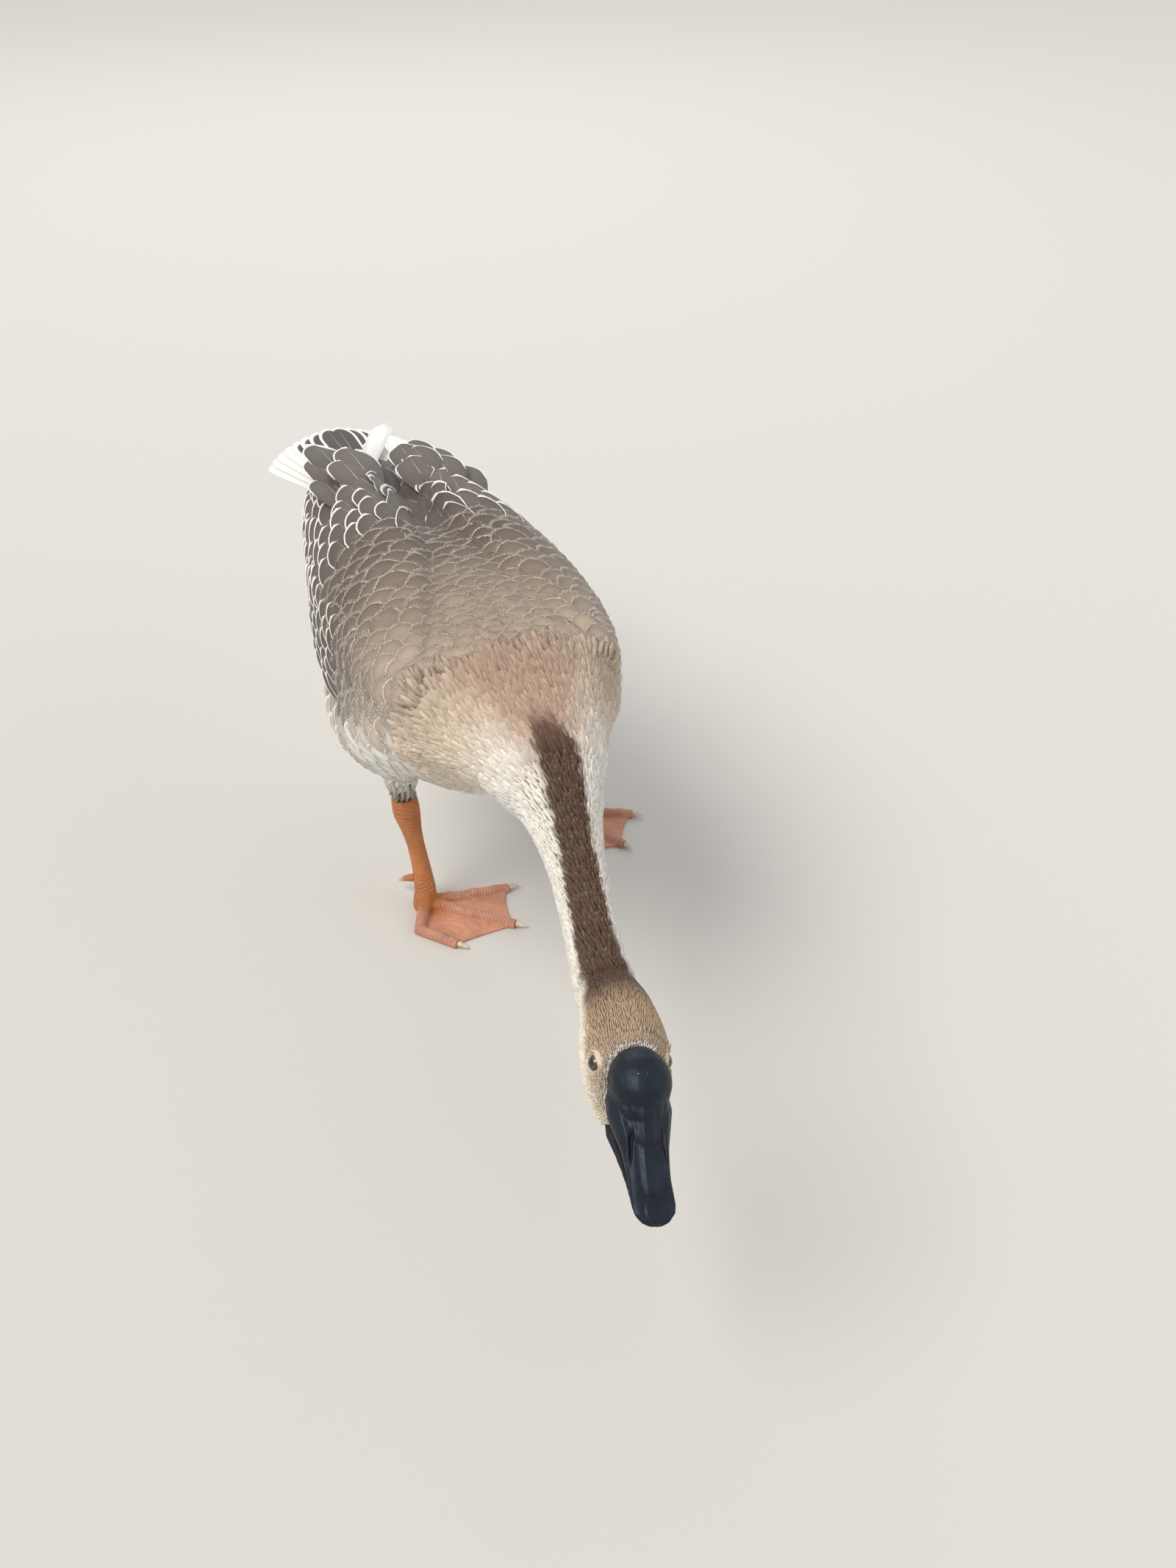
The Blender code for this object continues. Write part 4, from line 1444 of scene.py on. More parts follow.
tuftLook = {
    "streaks": (700.0, 0.3),  # how fine and how strong
    "root": (0.1, 0.7, 0.86, 1.02),  # from where to where the root's shade ends, its light and the tip's
    "tip": (0.5, 0.9),  # where the pale tip begins, and where it is full
    "shader": {"Sheen Weight": 0.12, "Sheen Roughness": 0.4, "Specular IOR Level": 0.14},
}


# A shader group for tufts: darker at the root, a paler tip, fine streaks.
def tuftMarks():
    tree, given, made = newGroup("tuftMarks", {"Tip": "Float"}, {"Color": "Color", "Height": "Float"})
    y = splitVector(tree, addNode(tree, "ShaderNodeUVMap", uv_map="vane").outputs["UV"])["Y"]
    scale, strength = tuftLook["streaks"]
    fine = noise(tree, objectPlace(tree), scale, 2.0)
    rooted = ramp(tree, y, *tuftLook["root"])
    streak = plus(tree, rooted, times(tree, minus(tree, fine, 0.5), strength))
    body = shade(tree, attribute(tree, "tint", "Color"), streak)
    share = times(tree, ramp(tree, y, *tuftLook["tip"]), given.outputs["Tip"])
    giveOut(tree, made, Color=mixColour(tree, share, body, attribute(tree, "rim", "Color")), Height=fine)
    return tree


tuftGroup = tuftMarks()


def tuftMaterial(name, tip, roughness):
    material, tree, shader = newMaterial(name, tuftLook["shader"])
    marks = addNode(tree, "ShaderNodeGroup", {"Tip": tip}, node_tree=tuftGroup).outputs
    rough = ramp(tree, marks["Height"], 0.3, 0.7, roughness + 0.05, roughness - 0.05)
    linkSurface(tree, shader, marks["Color"], rough)
    return material


# length, width and spacing in metres. drop turns the lay towards the floor, tip is how pale the tip is, and
# patch is the size of one tuft on the unwrap.
tuftSet = {
    "headTufts": {
        "slot": "feathers_brown", "length": 0.0046, "width": 0.0014, "spacing": 0.0012,
        "tip": 0.25, "drop": 0.0, "patch": 0.006,
    },
    "faceTufts": {
        "slot": "feathers_cream", "length": 0.0029, "width": 0.001, "spacing": 0.00086,
        "tip": 0.25, "drop": 0.1, "patch": 0.006,
    },
    "neckTufts": {
        "slot": "feathers_brown", "length": 0.0108, "width": 0.0028, "spacing": 0.00175,
        "tip": 0.45, "drop": 0.0, "patch": 0.006,
    },
    "capeTufts": {
        "slot": "feathers_cream", "length": 0.0175, "width": 0.0064, "spacing": 0.002,
        "tip": 0.22, "drop": 0.0, "patch": 0.006,
    },
    "thighTufts": {
        "slot": "feathers_grey", "length": 0.015, "width": 0.0048, "spacing": 0.0032,
        "tip": 0.45, "drop": 1.6, "patch": 0.008,
    },
}
tuftRings = ((0.0, 0.3), (0.35, 0.5), (0.72, 0.36))


# For each piece of tufts, a test for places on the skin.
def tuftRegions():
    faceStart = 0.004
    lidEnd = 0.0086
    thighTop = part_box("trunk")[0].z + 0.022

    def onHead(p):
        return (p[:, 1] < neckFront + 0.012) & (toHead(p)[:, 0] < faceStart) & (eyeDistance(p) > lidEnd)

    def onFace(p):
        return (p[:, 1] < neckFront) & (toHead(p)[:, 0] >= faceStart) & (eyeDistance(p) > lidEnd)

    def onNeck(p):
        return (p[:, 1] >= neckFront + 0.004) & (p[:, 1] < breastFront + 0.004)

    def onCape(p):
        # the last tufts thin out over the first rows of feathers
        luck = np.modf(np.abs(np.sin(p[:, 0] * 9173 + p[:, 1] * 6007 + p[:, 2] * 7919)) * 4373)[0]
        wavy = 0.004 * np.sin(p[:, 0] * 230 + p[:, 2] * 70) * np.sin(p[:, 0] * 83 - p[:, 2] * 140 + 1.3)
        return (p[:, 1] >= breastFront - 0.006) & (p[:, 1] + wavy + 0.03 * (luck - 0.5) < shoulder - 0.048)

    def onThighs(p):
        return (p[:, 2] < thighTop) & (p[:, 1] > shoulder) & (p[:, 1] < rump)

    return dict(zip(tuftSet, (onHead, onFace, onNeck, onCape, onThighs)))


# Colours of tufts: speckles on crown and stripe, and pale flecks at some tips.
def tuftTints(name, points, draw):
    tint = plumage(points, anglesOf(points))
    if name == "thighTufts":
        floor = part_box("thigh_right")[0].z
        low = smooth(floor + 0.045, floor + 0.005, points[:, 2])
        tint = blendColours(tint, colours["thigh"], 0.85 * low)
    tone = draw.uniform(0.84, 1.14, len(points))
    if name == "capeTufts":
        # soft bars across the lay, as rows of pale rims would show
        y, angles = points[:, 1], anglesOf(points)
        bend = y + 0.0035 * np.sin(angles / 7) + 0.002 * np.sin(angles / 2.3)
        onCape = smooth(breastFront - 0.01, breastFront + 0.05, y)
        tone *= 1 + 0.09 * np.sin(2 * math.pi * bend / 0.0125) * onCape
    tint = limited(tint * tone[:, None])
    dark = tint.mean(axis=1) < 0.16
    rim = limited(tint * 1.25 + 0.02)
    flecked = dark & (draw.random(len(points)) < 0.45)
    rim[flecked] = colours["fleck"] * draw.uniform(0.7, 1.2, flecked.sum())[:, None]
    return tint, rim


# How tufts lie: strays by chance, and in the face the place where they part, ahead, left and up.
layLook = {"stray": 0.07, "partFrom": (0.035, 0, 0.006), "part": 0.45}


def layDirection(name, points, normals, draw):
    back = np.repeat(np.array([[0.0, 1.0, 0.0]]), len(points), 0)
    if name in ("headTufts", "faceTufts"):
        back[:] = -headAxes[0]
    if name == "faceTufts":
        # the small feathers of the face part round the bill's base and the eye
        local = toHead(points)
        away = unit(local - np.array(layLook["partFrom"])) @ headAxes
        back = unit(back + layLook["part"] * away)
    back[:, 2] -= tuftSet[name]["drop"]
    back += draw.normal(0, layLook["stray"], back.shape)
    back -= normals * (back * normals).sum(axis=1)[:, None]
    return unit(back)


def makeTufts():
    blade = bladeShape("tuftBlade", tuftRings, 0.4, 0.11)
    made = []
    for name, wanted in tuftRegions().items():
        settings = tuftSet[name]
        points, normals, draw = scatter(wanted, settings["spacing"], len(made) + 5)
        lay = layDirection(name, points, normals, draw)
        if name == "capeTufts":
            # the last ones lie over the first rows of larger feathers
            over = 0.0036 * smooth(shoulder - 0.078, shoulder - 0.044, points[:, 1])
            points = points + normals * over[:, None]
        shape = [settings["width"], settings["length"], settings["length"]]
        size = draw.uniform(0.85, 1.15, (len(points), 1)) * shape
        tint, rim = tuftTints(name, points, draw)
        vectors = {"upward": normals, "lay": lay, "size": size, "rootPlace": rootPlaces(points, 0.002)}
        material = tuftMaterial(name, settings["tip"], 0.75)
        tufts = placeOnPoints(name, points, vectors, {"tint": tint, "rim": rim}, blade, material)
        patchMap(tufts.data, settings["patch"])
        made.append(tufts)
    dropObject(blade)
    return made


coat += makeTufts()


# ---- fringe: loose barbs that stand out from the rims of the mantle's and breast's feathers ----
# For each piece: barbs on a feather, their length and width.
fringeSet = {"mantleFeathers": (36, 0.0031, 0.00034), "breastFeathers": (24, 0.0034, 0.0004)}
barbSet = {
    "inside": 0.26,  # the share of a barb that lies inside the rim
    "above": 0.00025,
    "back": 0.9,  # how much a barb runs along the feather, outward and by chance
    "out": 0.5,
    "stray": 0.05,
    "size": (0.75, 1.2),
    "pale": 0.82,  # the rim's share in its colour
    "tint": (0.96, 1.08),
}


# Places along the outer part of one feather's rim, with the way out of the feather.
def rimPlaces(grid, count, dice):
    last = len(grid) - 1
    start = int(0.45 * last)
    line = [(grid[i, 0], grid[i, 1]) for i in range(start, last)]
    line += [(grid[last, j], grid[last - 2, j]) for j in range(grid.shape[1])]
    line += [(grid[i, -1], grid[i, -2]) for i in range(last - 1, start - 1, -1)]
    edge = np.array([e for e, i in line])
    inner = np.array([i for e, i in line])
    steps = np.concatenate([[0], np.cumsum(np.linalg.norm(np.diff(edge, axis=0), axis=1))])
    for spot in (np.arange(count) + 0.5) / count:
        at = (spot + dice.uniform(-0.3, 0.3) / count) * steps[-1]
        place = np.array([np.interp(at, steps, edge[:, axis]) for axis in range(3)])
        within = np.array([np.interp(at, steps, inner[:, axis]) for axis in range(3)])
        yield place, unit(place - within)


def makeFringe():
    barb = bladeShape("barb", ((0.0, 0.45), (0.5, 0.42)), 0.5, 0.06)
    made = []
    for source, (count, length, width) in fringeSet.items():
        dice = random.Random(source)
        places, ups, lays, sizes, tints = [], [], [], [], []
        for grid, feather in rimLines[source]:
            up = np.array(nearestSkin(Vector(grid[-3, 3]))[1])
            back = unit(grid[-1, 3] - grid[-4, 3])
            for place, out in rimPlaces(grid, count, dice):
                stray = np.array([dice.gauss(0, barbSet["stray"]) for _ in range(3)])
                way = unit(barbSet["back"] * back + out * barbSet["out"] + stray)
                places.append(place - way * length * barbSet["inside"] + up * barbSet["above"])
                ups.append(up)
                lays.append(way)
                size = dice.uniform(*barbSet["size"])
                sizes.append((width, length * size, length))
                pale = barbSet["pale"] * feather["rim"] + (1 - barbSet["pale"]) * feather["tint"]
                tints.append(limited(pale * dice.uniform(*barbSet["tint"])))
        vectors = {"upward": ups, "lay": lays, "size": sizes, "rootPlace": rootPlaces(places, 0)}
        material = tuftMaterial(source + "Fringe", 0.2, 0.8)
        looks = {"tint": tints, "rim": tints}
        piece = placeOnPoints(source + "Fringe", places, vectors, looks, barb, material)
        patchMap(piece.data, 0.004)
        made.append(piece)
    dropObject(barb)
    return made


coat += makeFringe()


# ---- bill ----
billSet = {
    "voxel": 0.00062,
    # balls that let the knob run into the bill: ahead, up, radii
    "joints": ((0.04, 0.007, 0.0165, 0.0155, 0.0115), (0.05, -0.001, 0.018, 0.014, 0.011)),
    "nostril": (0.066, 0.0102, 0.008, 0.0009, 0.0026),  # ahead, left, half length, half width, depth
    "lip": (1.35, 2.3, 0.0006),  # as long and as wide as so many nostrils, height
    "ridge": (0.015, 0.01, 0.0008),  # left at its start and end, height
    "ridgeAhead": (0.04, 0.047, 0.06, 0.072),  # starts, is full, falls, ends
    "hollow": (0.0031, 0.0016, 0.7),  # inward of the ridge, half width, depth in heights of the ridge
    "culmenAhead": (0.046, 0.056, 0.086, 0.097),
    "culmen": (0.0028, 0.0046, 0.0007),  # left where it starts to fall and ends, height
    "channel": (0.0062, 0.0016, 0.0006),  # left, half width, depth
    "nail": (0.1015, 0.0062, 0.0078, 0.0005),  # ahead, half width, half length, height
    "nailGroove": (1.08, 0.09, 0.0004),  # at so many nails, half width, depth
    "edgeAhead": (0.03, 0.055, 0.084, 0.105),  # the cutting edge: ahead and up
    "edgeUp": (-0.0105, -0.0112, -0.0128, -0.015),
    "edgeGroove": (0.0009, 0.0005),  # half width, depth
    "seam": (0.0035, 0.0012),  # under the bill: half width, depth
}
# The small plates in the mouth: from, to, and from one to the next. Then their row by places ahead, their
# distance from the middle and their height.
plateSet = {
    "ahead": (0.05, 0.096, 0.0016),
    "aside": ((0.048, 0.06, 0.08, 0.096), (0.0146, 0.0126, 0.0112, 0.0108)),
    "up": ((0.044, 0.069, 0.096), (-0.0128, -0.0142, -0.016)),
    "size": (0.0011, 0.0026, 0.0013),
    "tint": (0.05, 0.05, 0.05),
    "flush": 0.1,
}


hornLook = {
    "clouds": 55.0,
    "scratches": ((260.0, 40.0, 260.0), 1.6),  # the stretch along the bill, and how fine
    "grain": 900.0,
    "light": (0.45, 0.85),  # from where to where clouds and scratches bring out the lighter colour
    "specks": (190.0, 0.05, 0.12),  # how close, and their inner and outer size as shares of that
    "dusty": (38.0, 0.6, 0.66),  # how large the dusty places are, and how rare
    "heights": (0.5, 0.35),  # of scratches and grain
}


# A shader group for dark horn: uneven blue-black, long fine scratches, a few pale specks of dust.
def billMarks():
    inputs = {"Dark": "Color", "Light": "Color", "Specks": "Float"}
    tree, given, made = newGroup("hornMarks", inputs, {"Color": "Color", "Height": "Float", "Wear": "Float"})
    coords = objectPlace(tree)
    cloud = noise(tree, coords, hornLook["clouds"], 4.0, 0.6)
    stretch, scale = hornLook["scratches"]
    stretched = addNode(tree, "ShaderNodeMapping", {"Vector": coords, "Scale": stretch}).outputs[0]
    scratch = noise(tree, stretched, scale, 3.0, 0.7)
    fine = noise(tree, coords, hornLook["grain"], 2.0)
    share = ramp(tree, plus(tree, cloud, times(tree, scratch, 0.35)), *hornLook["light"])
    colour = mixColour(tree, share, given.outputs["Dark"], given.outputs["Light"])
    scale, inner, outer = hornLook["specks"]
    cells = addNode(tree, "ShaderNodeTexVoronoi", {"Vector": coords, "Scale": scale})
    speck = ramp(tree, cells.outputs["Distance"], inner, outer, 1.0, 0.0)
    scale, clean, dusty = hornLook["dusty"]
    rare = ramp(tree, noise(tree, coords, scale, 1.0), clean, dusty)
    dust = times(tree, times(tree, speck, rare), given.outputs["Specks"])
    colour = mixColour(tree, dust, colour, rgba(colours["dust"]))
    scratchHeight, grainHeight = hornLook["heights"]
    height = plus(tree, times(tree, scratch, scratchHeight), times(tree, fine, grainHeight))
    giveOut(tree, made, Color=colour, Height=height, Wear=scratch)
    return tree


hornGroup = billMarks()


# The outputs of the horn's group in a material.
def hornNode(tree, dark, light, specks):
    inputs = {"Dark": rgba(colours[dark]), "Light": rgba(colours[light]), "Specks": specks}
    return addNode(tree, "ShaderNodeGroup", inputs, node_tree=hornGroup).outputs


def billMaterial():
    fixed = {"Specular IOR Level": 0.45, "Specular Tint": (0.66, 0.8, 1.0, 1.0)}
    material, tree, shader = newMaterial("billHorn", fixed)
    marks = hornNode(tree, "bill", "billWorn", 0.7)
    colour = mixColour(tree, attribute(tree, "flush"), marks["Color"], rgba(colours["billFlush"]))
    rough = ramp(tree, marks["Wear"], 0.3, 0.75, 0.42, 0.58)
    linkSurface(tree, shader, colour, rough, (marks["Height"], 0.35, 0.0004))
    return material


# Cuts nostrils, raises the ridges, the culmen and the nail, and undercuts the edge.
def shapeUpperBill(obj):
    mesh = obj.data
    points, normals = meshPoints(mesh), meshNormals(mesh)
    ahead, left, up = toHead(points).T
    facing = normals @ headAxes.T
    upward = smooth(0.05, 0.5, facing[:, 2])
    aside = np.abs(left)
    at, out, halfLong, halfWide, deep = billSet["nostril"]
    line = out + 0.1 * (ahead - at)
    slit = bump(ahead, at, halfLong, 4) * bump(aside, line, halfWide)
    longer, wider, high = billSet["lip"]
    lip = bump(ahead, at, halfLong * longer, 4) * bump(aside, line, halfWide * wider)
    move = -deep * slit * upward + high * (lip - slit) * upward
    # a ridge from the knob's foot to the nostril on each side, and a hollow inside it
    start, end, high = billSet["ridge"]
    path = np.interp(ahead, [0.043, 0.062, 0.075], [start, end + 0.0016, end])
    reach = band(ahead, *billSet["ridgeAhead"])
    move += high * reach * bump(aside, path, 0.0013) * upward
    inward, half, deep = billSet["hollow"]
    move -= deep * high * reach * bump(aside, path - inward, half) * upward
    # the culmen stands up between two shallow channels
    reach = band(ahead, *billSet["culmenAhead"])
    start, end, high = billSet["culmen"]
    move += high * reach * (1 - smooth(start, end, aside)) * upward
    middle, half, deep = billSet["channel"]
    move -= deep * reach * bump(aside, middle, half) * upward
    # nail at the tip
    middle, wide, long, high = billSet["nail"]
    oval = np.sqrt(((ahead - middle) / long) ** 2 + (left / wide) ** 2)
    rim, half, deep = billSet["nailGroove"]
    move += high * (1 - smooth(0.86, 1.0, oval)) * upward - deep * bump(oval, rim, half) * upward
    # a groove above the cutting edge
    lowEdge = np.interp(ahead, billSet["edgeAhead"], billSet["edgeUp"])
    side = smooth(0.5, 0.85, np.abs(facing[:, 1])) * smooth(0.036, 0.044, ahead)
    half, deep = billSet["edgeGroove"]
    move -= deep * bump(up, lowEdge, half) * side
    setPoints(mesh, points + normals * move[:, None])
    # red in the left nostril, less in the right one, and along the mouth
    red = np.clip(1.1 * slit * upward, 0, 1) ** 3 * smooth(at + 0.001, at - 0.003, ahead)
    mouth = bump(up, lowEdge - 0.0016, 0.0012) * side * 0.35
    setAttribute(mesh, "flush", "FLOAT", np.maximum(red * np.where(left > 0, 1, 0.3), mouth))


# A seam under the bill, and red along its edge.
def shapeLowerBill(obj):
    mesh = obj.data
    points, normals = meshPoints(mesh), meshNormals(mesh)
    ahead, left, up = toHead(points).T
    below = smooth(0.3, 0.8, -(normals @ headAxes.T)[:, 2])
    half, deep = billSet["seam"]
    seam = bump(left, 0, half) * band(ahead, 0.036, 0.05, 0.085, 0.095)
    setPoints(mesh, points - normals * (deep * seam * below)[:, None])
    setAttribute(mesh, "flush", "FLOAT", 0.25 * bump(up, -0.015, 0.0012))


# The row of small plates along each side of the mouth.
def makeLamellae(material):
    plate = bladeShape("plate", ((0.0, 0.5), (0.5, 0.5), (0.85, 0.4)), 0.9, 0.0)
    places, ups, lays, sizes = [], [], [], []
    for side in sides.values():
        for ahead in np.arange(*plateSet["ahead"]):
            aside, up = np.interp(ahead, *plateSet["aside"]), np.interp(ahead, *plateSet["up"])
            places.append(fromHead([(ahead, side * aside, up)])[0])
            ups.append(headAxes[1] * side)
            lays.append(-headAxes[2])
            sizes.append(plateSet["size"])
    vectors = {"upward": ups, "lay": lays, "size": sizes}
    tints = {"tint": [plateSet["tint"]] * len(places)}
    made = placeOnPoints("billLamellae", places, vectors, tints, plate, material)
    setAttribute(made.data, "flush", "FLOAT", np.full(len(made.data.vertices), plateSet["flush"]))
    dropObject(plate)
    return made


def makeBill():
    material = billMaterial()
    joints = [(fromHead([(ahead, 0, up)])[0], radii, headAxes) for ahead, up, *radii in billSet["joints"]]
    upper = remeshed("billUpper", ["bill_upper", "bill_knob"], billSet["voxel"], 30, joints)
    shapeUpperBill(upper)
    relax(upper, 1)
    lower = remeshed("billLower", ["bill_lower"], 0.0008, 8)
    shapeLowerBill(lower)
    for obj in (upper, lower):
        finishWith(obj, material)
    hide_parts("bill_upper", "bill_knob")
    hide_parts("bill_lower")
    print("bill", len(upper.data.polygons) + len(lower.data.polygons), "faces")
    return [upper, lower, makeLamellae(material)]


# ---- eyes ----
eyeSet = {
    "rows": 40,
    "around": 48,
    "cornea": 0.1,  # how far it bulges, in radii
    "corneaEnd": 0.95,  # radians from the front, as is end
    "end": 1.25,  # where the pattern ends
    "pupil": 0.4,  # as a share of that, as is iris
    "iris": 0.8,
}


def eyeMaterial():
    fixed = {"Roughness": 0.25, "Coat Weight": 1.0, "Coat Roughness": 0.03}
    material, tree, shader = newMaterial("eye", fixed)
    ring = attribute(tree, "ring")
    rays = joinVector(tree, times(tree, attribute(tree, "turn"), 9.0), ring)
    fibre = ramp(tree, noise(tree, rays, 2.6, 4.0, 0.7), 0.35, 0.7)
    iris = mixColour(tree, fibre, rgba(colours["iris"]), rgba(colours["irisRays"]))
    limbus = ramp(tree, ring, eyeSet["iris"] - 0.14, eyeSet["iris"])
    colour = mixColour(tree, limbus, iris, rgba(colours["irisRim"]))
    pupil = ramp(tree, ring, eyeSet["pupil"], eyeSet["pupil"] + 0.05, 1.0, 0.0)
    linkSurface(tree, shader, mixColour(tree, pupil, colour, (0.002, 0.002, 0.002, 1)))
    return material


# An eyeball whose front bulges a little, its pattern turned about its line of sight.
def makeEye(side, material):
    low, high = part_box(f"eye_{side}")
    radius = (high.z - low.z) / 2
    centre = np.array((low + high) / 2)
    out = unit(eyeLook(side) @ headAxes)
    along = unit(headAxes[0] - out * (headAxes[0] @ out))
    over = np.cross(out, along)
    rows, around = eyeSet["rows"], eyeSet["around"]
    points, rings, turns = [centre + out * radius * (1 + eyeSet["cornea"])], [0.0], [0.0]
    for i in range(1, rows):
        polar = math.pi * i / rows
        bulge = 1 + eyeSet["cornea"] * max(0.0, 1 - (polar / eyeSet["corneaEnd"]) ** 2)
        for k in range(around):
            turn = 2 * math.pi * k / around
            way = out * math.cos(polar) + (along * math.cos(turn) + over * math.sin(turn)) * math.sin(polar)
            points.append(centre + way * radius * bulge)
            rings.append(min(polar / eyeSet["end"], 1.0))
            turns.append(abs(turn / math.pi - 1) * 2)
    points.append(centre - out * radius)
    rings.append(1.0)
    turns.append(0.0)
    faces = [(0, 1 + k, 1 + (k + 1) % around) for k in range(around)]
    for i in range(rows - 2):
        a = 1 + i * around
        for k in range(around):
            n = (k + 1) % around
            faces.append((a + k, a + around + k, a + around + n, a + n))
    a = 1 + (rows - 2) * around
    faces += [(a + k, len(points) - 1, a + (k + 1) % around) for k in range(around)]
    mesh = bpy.data.meshes.new(f"eye{side.title()}")
    mesh.from_pydata([tuple(p) for p in points], [], faces)
    turnFacesOut(mesh)
    mesh.shade_smooth()
    setAttribute(mesh, "ring", "FLOAT", rings)
    setAttribute(mesh, "turn", "FLOAT", turns)
    mesh.materials.append(material)
    eye = newObject(f"eye{side.title()}", mesh)
    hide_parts(f"eye_{side}")
    return eye


# ---- legs and feet ----
legSet = {
    "voxel": 0.00072,
    "toeHalf": (0.0044, 0.0066),  # where a toe's scutes start to end, and where they end
    "scute": 0.0028,  # from one to the next
    "scuteDepth": 0.0006,
    "joints": (0.3, 0.58, 0.84),  # of each run of a toe
    "jointHalf": 0.0035,
    "jointHeight": 0.0007,
    "wrinkle": 0.0034,
    "wrinkleDepth": 0.0008,
    "ankle": (0.024, 0.014),  # where wrinkles are: height over the floor and half length
    "hock": (0.092, 0.016),
    "swelling": (0.096, 0.016),
    "swell": (0.0007, 0.0016),  # of the whole shank, and how much more at the swelling
    "webFold": 0.00018,
}
toeNames = ("inner", "middle", "outer")
# The joint of the bent toe, by its turn from the middle toe and its distance from the heel.
bentToe = {"side": "right", "toe": "outer", "turn": 74.0, "reach": 0.039}


def heelOf(side):
    points = nodePoints(f"shank_{side}")
    low = points[points[:, 2] < points[:, 2].min() + 0.001]
    return low.mean(axis=0)


# Where a toe meets its claw.
def toeTip(toe, side):
    heel = heelOf(side)
    points = nodePoints(f"claw_{toe}_{side}")
    gaps = np.linalg.norm(points[:, :2] - heel[:2], axis=1)
    return points[gaps < gaps.min() + 0.0005].mean(axis=0)


# A toe's straight runs, from the heel over its joints to its tip, on the floor.
def toeRuns(toe, side):
    heel, tip = heelOf(side)[:2], toeTip(toe, side)[:2]
    if (side, toe) != (bentToe["side"], bentToe["toe"]):
        return [(heel, tip)]
    middle = unit(toeTip("middle", side)[:2] - heel)
    turn = math.radians(bentToe["turn"]) * sides[side]
    across = np.array([-middle[1], middle[0]])
    joint = heel + bentToe["reach"] * (middle * math.cos(turn) + across * math.sin(turn))
    return [(heel, joint), (joint, tip)]


# Cross scutes on the toes, wrinkles at the hock and ankle, and folds on the webs.
def shapeLeg(obj, side):
    mesh = obj.data
    points, normals = meshPoints(mesh), meshNormals(mesh)
    heel = heelOf(side)
    low = points[:, 2] < heel[2] + 0.001
    toeMask, groove, move = np.zeros(len(points)), np.zeros(len(points)), np.zeros(len(points))
    for start, end in (run for toe in toeNames for run in toeRuns(toe, side)):
        way = end - start
        length = np.linalg.norm(way)
        way /= length
        rel = points[:, :2] - start
        along, off = rel @ way, np.abs(rel @ np.array([-way[1], way[0]]))
        on = (1 - smooth(*legSet["toeHalf"], off)) * low * smooth(0.1, 0.5, normals[:, 2])
        on *= smooth(0.008, 0.016, np.linalg.norm(points[:, :2] - heel[:2], axis=1))
        on *= smooth(-0.004, 0.0, along) * smooth(length + 0.004, length, along)
        wave = np.abs(np.sin(math.pi * (along + 0.12 * off) / legSet["scute"])) ** 0.55
        joint = sum(bump(along, share * length, legSet["jointHalf"]) for share in legSet["joints"])
        high = legSet["scuteDepth"] * (wave - 1) + legSet["jointHeight"] * joint
        move = np.where(on > toeMask, on * high, move)
        groove = np.where(on > toeMask, on * (1 - wave), groove)
        toeMask = np.maximum(toeMask, on)
    z = points[:, 2]
    turn = np.arctan2(points[:, 1] - heel[1], points[:, 0] - heel[0])
    upper = smooth(heel[2] - 0.002, heel[2] + 0.006, z)
    wrinkled = bump(z, *legSet["ankle"]) + 0.9 * bump(z, *legSet["hock"])
    bend = z + 0.0016 * np.sin(2 * turn) + 0.0009 * np.sin(5 * turn + z * 300)
    crease = np.abs(np.sin(math.pi * bend / legSet["wrinkle"])) ** 0.45
    move += upper * wrinkled * legSet["wrinkleDepth"] * (crease - 1)
    move += upper * (legSet["swell"][0] + legSet["swell"][1] * bump(z, *legSet["swelling"]))
    groove = np.maximum(groove, upper * wrinkled * (1 - crease))
    web = low * (1 - toeMask) * smooth(0.3, 0.7, normals[:, 2])
    reach = np.linalg.norm(points[:, :2] - heel[:2], axis=1)
    fold = np.sin(turn * 38 + 1.5 * np.sin(reach * 240)) * smooth(0.02, 0.05, reach)
    move += legSet["webFold"] * web * fold
    points += normals * move[:, None]
    points[:, 2] = np.maximum(points[:, 2], 0)
    setPoints(mesh, points)
    # groove marks the scute grooves and the wrinkles' creases, which the leg's finish darkens as painted shade
    setAttribute(mesh, "groove", "FLOAT", np.clip(groove, 0, 1))
    pink = np.clip(low * smooth(0.01, 0.03, reach) * (0.78 + 0.22 * toeMask), 0, 1)
    setAttribute(mesh, "pink", "FLOAT", pink)


scaleLook = {
    "warp": 150.0,
    "gap": 0.14,  # how wide the lines between plates are, in plates
    "lineShade": 0.16,
    "patches": (70.0, 0.3, 0.7, 0.84, 1.12),  # how fine, from where to where, darkest and lightest
    "grain": (1500.0, 0.25, 0.75, 0.93, 1.05),
    "grooveShade": 0.5,
    "heights": (0.7, 0.3),  # of plates and grain
}


